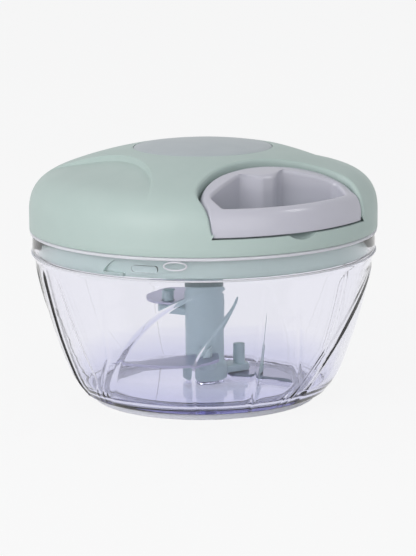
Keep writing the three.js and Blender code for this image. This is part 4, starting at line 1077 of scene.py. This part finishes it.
for name, solid, angle, reach, sweep, low, hole in BLADES:
    hollow, plan = blade_plan(reach, sweep)
    sheet = prism(plan, low, low + SHEET)
    top = [face for face in sheet.faces if len(face.verts) > 4 and face.calc_center_median().z > low + 0.5]
    bmesh.ops.inset_region(sheet, faces=top, thickness=1.2, use_even_offset=True, use_boundary=True)
    for vert in sheet.verts:
        near = min((point - vert.co.xy).length for point in hollow)
        if vert.co.z > low + 0.5 and near < 0.02:
            vert.co.z = low + 0.18
    bmesh.ops.triangulate(sheet, faces=[face for face in sheet.faces if len(face.verts) > 4])
    blade = to_object(placed(sheet, 0, angle), name)
    combine(blade, placed(plug(hole, low - 1, low + 2), PEG_REACH, angle))
    finish_piece(blade, "blades", steel, [solid], sharp=20)

# %% [markdown]
# ## Cord
# The cord is 2 mm braided polyester: two and a half turns on the drum, a lead through the guide, and a
# knot that sits in the handle. Each stretch is a grid bent round its path, so its UV map runs along and
# round the cord and the braid follows it.

# %% Cord
def cord_piece(path, radius, name, sides=12):
    """A round cord along a path, with a UV map in steps of the braid."""
    path = [Vector(point) for point in path]
    last = len(path) - 1
    lengths = [0.0]
    for before, after in zip(path, path[1:]):
        lengths.append(lengths[-1] + (after - before).length)
    builder = bmesh.new()
    bmesh.ops.create_grid(builder, x_segments=last, y_segments=sides, size=1)
    braid_layer = builder.loops.layers.uv.new("braid")
    steps = {vert: (round((vert.co.x + 1) / 2 * last), round((vert.co.y + 1) / 2 * sides))
             for vert in builder.verts}
    for face in builder.faces:
        for loop in face.loops:
            along, around = steps[loop.vert]
            loop[braid_layer].uv = (4 * around / sides, lengths[along] / 1.4)
    for vert, (along, around) in steps.items():
        tangent = (path[min(along + 1, last)] - path[max(along - 1, 0)]).normalized()
        side = tangent.orthogonal() if abs(tangent.z) > 0.95 else tangent.cross(Vector((0, 0, 1)))
        side.normalize()
        angle = math.tau * around / sides
        vert.co = path[along] + (side * math.cos(angle) + side.cross(tangent) * math.sin(angle)) * radius
    bmesh.ops.remove_doubles(builder, verts=builder.verts, dist=0.001)
    bmesh.ops.holes_fill(builder, edges=[edge for edge in builder.edges if edge.is_boundary])
    bmesh.ops.recalc_face_normals(builder, faces=builder.faces)
    return to_object(builder, name)


DRUM_RADIUS, CORD_RADIUS, PITCH, GUIDE_REACH, TURN_STEPS = 17.0, 0.98, 2.55, 25.9, 40
leaves = -90 - math.degrees(math.acos(DRUM_RADIUS / GUIDE_REACH))
helix = [(*polar(DRUM_RADIUS, leaves - 360 * step / TURN_STEPS), CORD_HEIGHT - PITCH * step / TURN_STEPS)
         for step in range(101)]
winding = cord_piece(helix, CORD_RADIUS, "wound_cord")
finish_piece(winding, "spool", braid, ["cord_winding"], sharp=60)

off = Vector(helix[0])
corner, lead_end = Vector((0, -GUIDE_REACH, CORD_HEIGHT)), Vector((0, -33.1, CORD_HEIGHT))
along = (corner - off).normalized()
bend_in, bend_out = corner - along * 1.8, corner + Vector((0, -1.8, 0))
lead_path = between(off + along * 0.3, bend_in, 10) + bent(bend_in, corner, bend_out, 8)
lead_path += between(bend_out, lead_end, 16) + [lead_end]
lead = cord_piece(lead_path, CORD_RADIUS, "cord_run")
finish_piece(lead, None, braid, ["cord_lead"], sharp=60)
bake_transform(lead)

# The knot is a closed loop with three crossings.
KNOT_SIZE, KNOT_DEPTH = 0.56, 0.75
loop_path = []
for step in range(97):
    t = math.tau * step / 96
    across, up = math.sin(t) + 2 * math.sin(2 * t), math.cos(t) - 2 * math.cos(2 * t)
    loop_path.append(KNOT + Vector((KNOT_SIZE * across, KNOT_DEPTH * math.sin(3 * t), KNOT_SIZE * up)))
knot = cord_piece(loop_path, 0.85, "stop_knot", sides=10)
finish_piece(knot, "handle", braid, ["cord_knot"], sharp=60)

# %% Materials on the frame's own solids
screws = [f"lid_screw_{k}" for k in (1, 2, 3)] + [f"cover_screw_{k}" for k in (1, 2, 3, 4)]
steel_solids = ["pivot_pin", "lower_blade", "middle_blade", "upper_blade", "cord_guide", "axle_screw",
                "thrust_washer"]
solids_of = [
    (clear, ["bowl"]), (soft_clear_and_highlight, ["foot_ring"]), (silicone, ["lid_seal"]), (sage, ["lid_shell"]),
    (badge_grey, ["badge_disc"]), (sage_painted_lighter, ["lid_base"]), (blued, ["power_spring"]),
    (lilac, ["pull_handle"]), (slate_sage_painted_lighter, ["blade_spindle", "cord_spool"]),
    # The socket's darker sage is painted shade.
    (sage_painted_dark, ["spring_cover", "drive_socket"]), (braid, ["cord_lead", "cord_winding", "cord_knot"]),
    (steel, steel_solids + screws),
]
for material, names in solids_of:
    for node_name in names:
        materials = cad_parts[node_name].data.materials
        materials.clear()
        materials.append(material)
print("materials on", sum(len(names) for material, names in solids_of), "solids")
